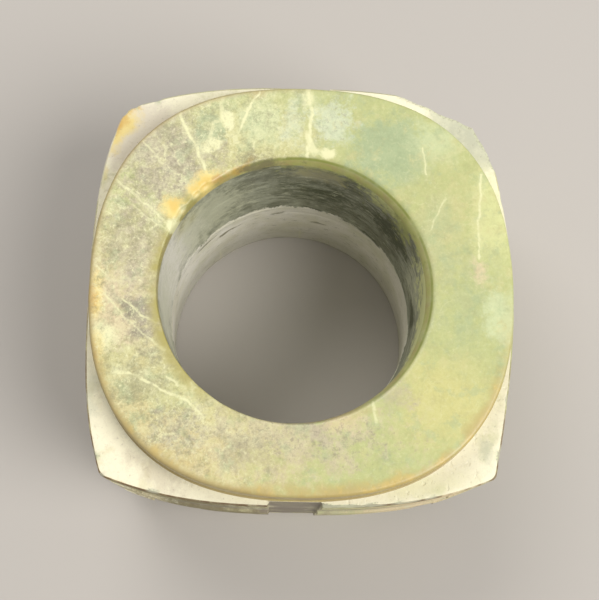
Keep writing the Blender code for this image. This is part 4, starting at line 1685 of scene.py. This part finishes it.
@dataclass(frozen=True)
class PolishedTop(StoneFinish):
    """The collars' soft polish, with the stains along their edges and around the mouth."""

    wall_end: float = 46.1
    wall_run: float = 0.7
    front_turn: float = -85.0
    rim_turn: float = 175.0
    olive_turn: float = 40.0
    ochre_turn: float = 185.0

    def paint(self, pad: StonePad, place: Socket, stone: Outputs) -> Feed:
        """Lays the amber edge, the ochre wall and the olive lip over the stone."""
        patchy = pad.noise(place, 4.5, 3.0, 0.6, 40.0)
        spots = pad.noise(place, 3.0, 4.0, 0.65, 43.0)
        streaky = pad.noise(place, 2.0, 5.0, 0.75, 42.0)
        from_rim, from_mouth = pad.measure("from_rim"), pad.measure("from_mouth")
        edge = pad.remap(from_rim, pad.remap(patchy, 0.35, 0.65, 1.3, 3.6), 0.1)
        front = pad.facing(place, self.front_turn, 0.05, 0.75)
        tinge = pad.times(edge, front, pad.remap(patchy, 0.36, 0.58, 0.5, 0.95))
        wall = pad.remap(pad.height(place), self.wall_end, self.wall_end - self.wall_run)
        rim = pad.facing(place, self.rim_turn, -0.2, 0.5, 0.0, 0.8)
        around = pad.facing(place, self.olive_turn, -0.55, 0.5)
        lip = pad.times(pad.remap(from_mouth, 0.1, -0.9), around)
        line = pad.remap(pad.math("ABSOLUTE", pad.math("ADD", from_mouth, 0.15)), 0.3, 0.05)
        band = pad.times(pad.remap(from_mouth, 2.8, 0.6), pad.facing(place, self.ochre_turn, 0.3, 0.9))
        colour = pad.layers(stone["Color"], (
            (tinge, Tone.AMBER),
            (pad.times(tinge, pad.remap(spots, 0.48, 0.6, 0.0, 0.35)), Tone.SAFFRON),
            (pad.times(wall, pad.remap(patchy, 0.36, 0.6, 0.25, 0.95)), Tone.TAWNY),
            (pad.times(rim, pad.remap(from_rim, 1.5, 0.1)), Tone.TAWNY),
            (pad.times(lip, pad.remap(streaky, 0.36, 0.6, 0.1, 1.0)), Tone.LICHEN),
            (pad.times(lip, pad.remap(streaky, 0.56, 0.68, 0.0, 0.7)), Tone.SOOT),
            (pad.times(line, around, pad.remap(patchy, 0.3, 0.55, 0.3, 0.85)), Tone.OLIVE),
            (pad.times(band, pad.remap(patchy, 0.38, 0.6, 0.4, 1.0)), Tone.OLD_GOLD),
            (pad.share(pad.measure("broken"), 0.3), Tone.CREAM),
        ))
        return pad.washes(colour, place, TOP_STAINS)


@dataclass(frozen=True)
class ChalkyShoulder(StoneFinish):
    """The whitened shoulders between the collar and the corners."""

    def paint(self, pad: StonePad, place: Socket, stone: Outputs) -> Feed:
        """Lays the stains of each corner over pale chalk, with specks and a little stone."""
        bare = pad.remap(pad.noise(place, 5.0, 4.0, 0.65, 44.0), 0.52, 0.72, 0.06, 0.5)
        dust = pad.group(pad.groups.clouds, Place=place, Size=1.1, Seed=15.0)[0]
        colour = pad.layers(Tone.CHALK, ((bare, stone["Color"]), (pad.share(dust, 0.6), Tone.GREIGE)))
        colour = pad.washes(colour, place, SHOULDER_WASHES)
        broken = pad.measure("broken")
        green = pad.remap(pad.noise(place, 1.2, 4.0, 0.6, 46.0), 0.4, 0.66)
        worn = pad.mix(green, Tone.CHALK_GREY, Tone.PALE_CELADON)
        crowd = pad.math("MULTIPLY_ADD", broken, 0.3, 0.42)
        specks = pad.group(pad.groups.flecks, Place=place, Size=0.55, Crowding=crowd, Seed=17.0)[0]
        return pad.layers(colour, ((pad.share(broken, 0.85), worn), (pad.share(specks, 0.6), Tone.PEAT)))


@dataclass(frozen=True)
class CarvedSide(StoneFinish):
    """The carved sides: worn pale on what stands out, brown in the cuts."""

    shoulder_edge: float = 40.6
    edge_run: float = 1.6
    # Direction, in degrees, of the face that gets a painted shadow under the shoulder's edge.
    shadow_edge_turn: float = -95.0

    def paint(self, pad: StonePad, place: Socket, stone: Outputs) -> Feed:
        """Lays chalk, brown in the cuts and a brown upper edge over the stone; the front face's dark
        patches and the brown upper edge are painted shade.
        """
        patchy = pad.noise(place, 5.5, 4.0, 0.6, 50.0)
        broad = pad.noise(place, 12.0, 7.0, 0.7, 52.0)
        colour = pad.layers(stone["Color"], (
            (pad.remap(patchy, 0.3, 0.7, 0.15, 0.6), Tone.GREIGE),
            (pad.remap(broad, 0.51, 0.58, 0.0, 0.65), Tone.CHALK),
        ))
        colour = pad.washes(colour, place, SIDE_WASHES)
        recess = pad.remap(pad.measure("recess"), 0.15, 1.0)
        top = pad.remap(pad.height(place), self.shoulder_edge - self.edge_run, self.shoulder_edge)
        top = pad.times(top, pad.remap(patchy, 0.4, 0.54, 0.15, 0.85))
        specks = pad.group(pad.groups.flecks, Place=place, Size=0.6, Crowding=0.3, Seed=21.0)[0]
        return pad.layers(colour, (
            (pad.times(recess, pad.remap(patchy, 0.38, 0.62, 0.9, 0.25)), Tone.PEAT),
            (pad.times(pad.measure("incised"), pad.remap(broad, 0.35, 0.6, 0.95, 0.55)), Tone.BROWN),
            # A brown band under the shoulder's edge on the front face: painted shadow.
            (pad.times(top, pad.facing(place, self.shadow_edge_turn, 0.0, 0.6)), Tone.BROWN),
            (pad.share(pad.measure("broken"), 0.75), Tone.CHALK_GREY),
            (pad.share(specks, 0.5), Tone.PEAT),
        ))


@dataclass(frozen=True)
class DrilledBore(StoneFinish):
    """The wall of the bore, streaked by the drill and stained dark in places, with painted light on its
    pale left and lower wall and painted shade on its back right and towards its foot.
    """

    stain_foot: float = 27.5
    # Direction, in degrees, of the side of the bore that gets painted shade.
    shady_turn: float = 35.0

    def paint(self, pad: StonePad, place: Socket, stone: Outputs) -> Feed:
        """Lays grey, dark patches and level streaks over the stone; the pale left and lower wall are partly
        painted light, and the streaks on the back right and the darkening towards the foot are painted
        shade.
        """
        height = pad.height(place)
        patchy = pad.noise(place, 6.0, 4.0, 0.6, 60.0)
        torn = pad.noise(place, 4.0, 6.0, 0.75, 61.0)
        upper = pad.math("MULTIPLY_ADD", torn, 8.0, pad.math("SUBTRACT", height, self.stain_foot))
        upper = pad.remap(upper, -0.3, 0.4)
        # The dark streaks are kept to the back right of the bore, where its wall lies in shade: partly
        # painted shade.
        shady = pad.facing(place, self.shady_turn, -0.3, 0.6)
        streaks = pad.noise(pad.vector("MULTIPLY", place, (1.0, 1.0, 6.0)), 5.0, 5.0, 0.7, 62.0)
        smudges = pad.noise(pad.vector("MULTIPLY", place, (1.0, 1.0, 3.0)), 2.2, 6.0, 0.75, 64.0)
        # Below the ridge the wall is very pale: partly its own colour, partly painted light.
        lower = pad.layers(Tone.PALE_ASH, (
            (pad.remap(patchy, 0.35, 0.65, 0.0, 0.3), stone["Color"]),
            # Darker towards the foot of the bore: painted shade.
            (pad.remap(height, 16.0, 4.0, 0.0, 0.3), Tone.SHADOW_GREEN),
            (pad.remap(smudges, 0.55, 0.66, 0.0, 0.5), Tone.SHADOW_GREEN),
        ))
        wall = pad.mix(pad.remap(patchy, 0.35, 0.65, 0.1, 0.75), Tone.SHADOW_GREEN, Tone.ASH)
        wall = pad.layers(pad.washes(wall, place, BORE_WASHES), (
            (pad.times(pad.remap(streaks, 0.5, 0.62, 0.0, 0.6), shady), Tone.MOSS),
            (pad.times(pad.remap(smudges, 0.54, 0.64, 0.0, 0.75), shady), Tone.MOSS),
            (pad.remap(smudges, 0.47, 0.34, 0.0, 0.75), Tone.CHALK_GREY),
        ))
        wall = pad.washes(wall, place, LIP_WASHES)
        colour = pad.mix(upper, pad.washes(lower, place, RIDGE_MARKS), wall)
        return pad.mix(pad.times(stone["Vein"], 0.4), colour, Tone.CREAM)


@dataclass(frozen=True)
class PlainFoot(StoneFinish):
    """The underside and the lower collar, plainer and dustier than the rest."""

    def paint(self, pad: StonePad, place: Socket, stone: Outputs) -> Feed:
        """Dulls the stone and lets a little chalk through."""
        chalky = pad.remap(pad.noise(place, 6.5, 4.0, 0.6, 70.0), 0.45, 0.7, 0.1, 0.7)
        worn = pad.remap(pad.noise(place, 16.0, 3.0, 0.6, 72.0), 0.5, 0.66, 0.0, 0.45)
        return pad.layers(stone["Color"], ((chalky, Tone.CHALK), (worn, Tone.ROSE_SAND)))


FINISHES = (
    PolishedTop("polished_jade", Zone.POLISHED, roughness=0.42, roughness_swing=0.08, grain=0.03,
                grain_size=0.5, pits=0.6, rubbing=0.35, clouding=0.5, flecking=0.7, veining=1.0,
                whole=True),
    ChalkyShoulder("chalky_jade", Zone.SHOULDER, roughness=0.7, roughness_swing=0.05, grain=0.07,
                   grain_size=0.7, pits=1.0, clouding=0.2, veining=0.5),
    CarvedSide("carved_jade", Zone.CARVED, roughness=0.6, roughness_swing=0.08, grain=0.05,
               grain_size=0.6, pits=0.8, clouding=0.45, flecking=0.6),
    DrilledBore("drilled_jade", Zone.BORE, roughness=0.5, roughness_swing=0.08, grain=0.04,
                grain_size=0.6, pits=0.6, veining=0.6),
    PlainFoot("underside_jade", Zone.FOOT, roughness=0.62, roughness_swing=0.06, grain=0.05,
              grain_size=0.7, pits=0.8),
)


@dataclass(frozen=True)
class Softbox:
    """One large soft light."""

    name: str
    place: Point
    aim: Point
    size: float
    watts: float
    tint: Point = (1.0, 0.98, 0.95)

    def set_up(self) -> None:
        """Makes the light and turns it to what it lights."""
        light = bpy.data.lights.new(self.name, "AREA")
        light.shape = "DISK"
        light.size = self.size
        light.energy = self.watts
        light.color = self.tint
        made = add_object(self.name, light)
        made.location = Vector(self.place) * MM
        made.rotation_euler = (Vector(self.aim) - Vector(self.place)).to_track_quat("-Z", "Y").to_euler()
        log.info("light %s: %.2f m across, %.2f W", self.name, self.size, self.watts)


@dataclass(frozen=True)
class Viewpoint:
    """Where the photo was taken from, found by fitting a camera to its outlines."""

    place: Point = (-5.145, -51.126, 219.922)
    look: Point = (0.02473, 0.26082, -0.96507)
    up: Point = (-0.02099, 0.96529, 0.26034)
    lens: float = 60.0
    sensor: float = 36.0
    nearest: float = 0.01
    farthest: float = 20.0

    def set_up(self) -> None:
        """Makes the camera and gives it to the scene."""
        camera = bpy.data.cameras.new("photo_view")
        camera.lens = self.lens
        camera.sensor_width = self.sensor
        camera.clip_start = self.nearest
        camera.clip_end = self.farthest
        made = add_object("photo_view", camera)
        back = -Vector(self.look).normalized()
        right = Vector(self.up).cross(back).normalized()
        turned = Matrix((right, back.cross(right), back)).transposed()
        made.matrix_world = Matrix.Translation(Vector(self.place) * MM) @ turned.to_4x4()
        bpy.context.scene.camera = made


@dataclass(frozen=True)
class Studio:
    """The floor, the lights and the view transform."""

    floor_size: float = 3.0
    floor_drop: float = 0.05
    floor_tone: str = "b9b4ae"
    floor_roughness: float = 0.9
    world_level: float = 0.35
    boxes: tuple[Softbox, ...] = (
        Softbox("key", (470, -270, 630), (0, 0, 25), 0.55, 5.9),
        Softbox("fill", (-260, 470, 600), (0, 0, 25), 0.6, 3.3),
    )

    def floor(self) -> None:
        """Makes the floor, a plain matt sheet."""
        half = self.floor_size / 2
        drop = -self.floor_drop * MM
        mesh = bpy.data.meshes.new("floor")
        corners = [(-half, -half, drop), (half, -half, drop), (half, half, drop), (-half, half, drop)]
        mesh.from_pydata(corners, [], [(0, 1, 2, 3)])
        paper = bpy.data.materials.new("floor_card")
        paper.use_nodes = True
        sockets = paper.node_tree.nodes["Principled BSDF"].inputs
        sockets["Base Color"].default_value = linear_light(self.floor_tone)
        sockets["Roughness"].default_value = self.floor_roughness
        mesh.materials.append(paper)
        add_object("floor", mesh)

    def set_up(self) -> None:
        """Makes the floor and the lights, and sets how light is turned into picture tones."""
        self.floor()
        for box in self.boxes:
            box.set_up()
        world = bpy.data.worlds.new("studio")
        world.use_nodes = True
        sockets = world.node_tree.nodes["Background"].inputs
        sockets["Color"].default_value = (1.0, 1.0, 1.0, 1.0)
        sockets["Strength"].default_value = self.world_level
        bpy.context.scene.world = world
        bpy.context.scene.view_settings.view_transform = "Standard"


def settle(stone: bpy.types.Object) -> None:
    """Keeps the stone inside its CAD box and sets its shading.

    Args:
        stone: The carved stone.
    """
    mesh = stone.data
    flat = np.empty(3 * len(mesh.vertices), dtype=np.float32)
    mesh.vertices.foreach_get("co", flat)
    low, high = (np.array(corner, dtype=np.float32) for corner in CAD_BOX)
    places = np.clip(flat.reshape(-1, 3), low, high)
    moved = int((places != flat.reshape(-1, 3)).any(axis=1).sum())
    mesh.vertices.foreach_set("co", places.ravel())
    mesh.polygons.foreach_set("use_smooth", [True] * len(mesh.polygons))
    mesh.set_sharp_from_angle(angle=SHARP_ANGLE)
    mesh.update()
    triangles = sum(len(face.vertices) - 2 for face in mesh.polygons)
    log.info("%s: %d points, %d triangles, %d points held at the box", stone.name, len(mesh.vertices),
             triangles, moved)


def main() -> None:
    """Builds the stone and its studio, and ties the stone to the CAD frame."""
    logging.basicConfig(level=logging.INFO, format="%(name)s: %(message)s")
    top = CAD_BOX[1][2] / MM
    groups = StoneGroups()
    finishes = {finish.zone: finish.material(groups) for finish in FINISHES}
    cong = Cong(height=top)
    stone = LineCarving().carve(cong, finishes)
    settle(stone)
    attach(stone, "root")
    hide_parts(NODE)
    Studio().set_up()
    Viewpoint().set_up()


if __name__ == "__main__":
    main()
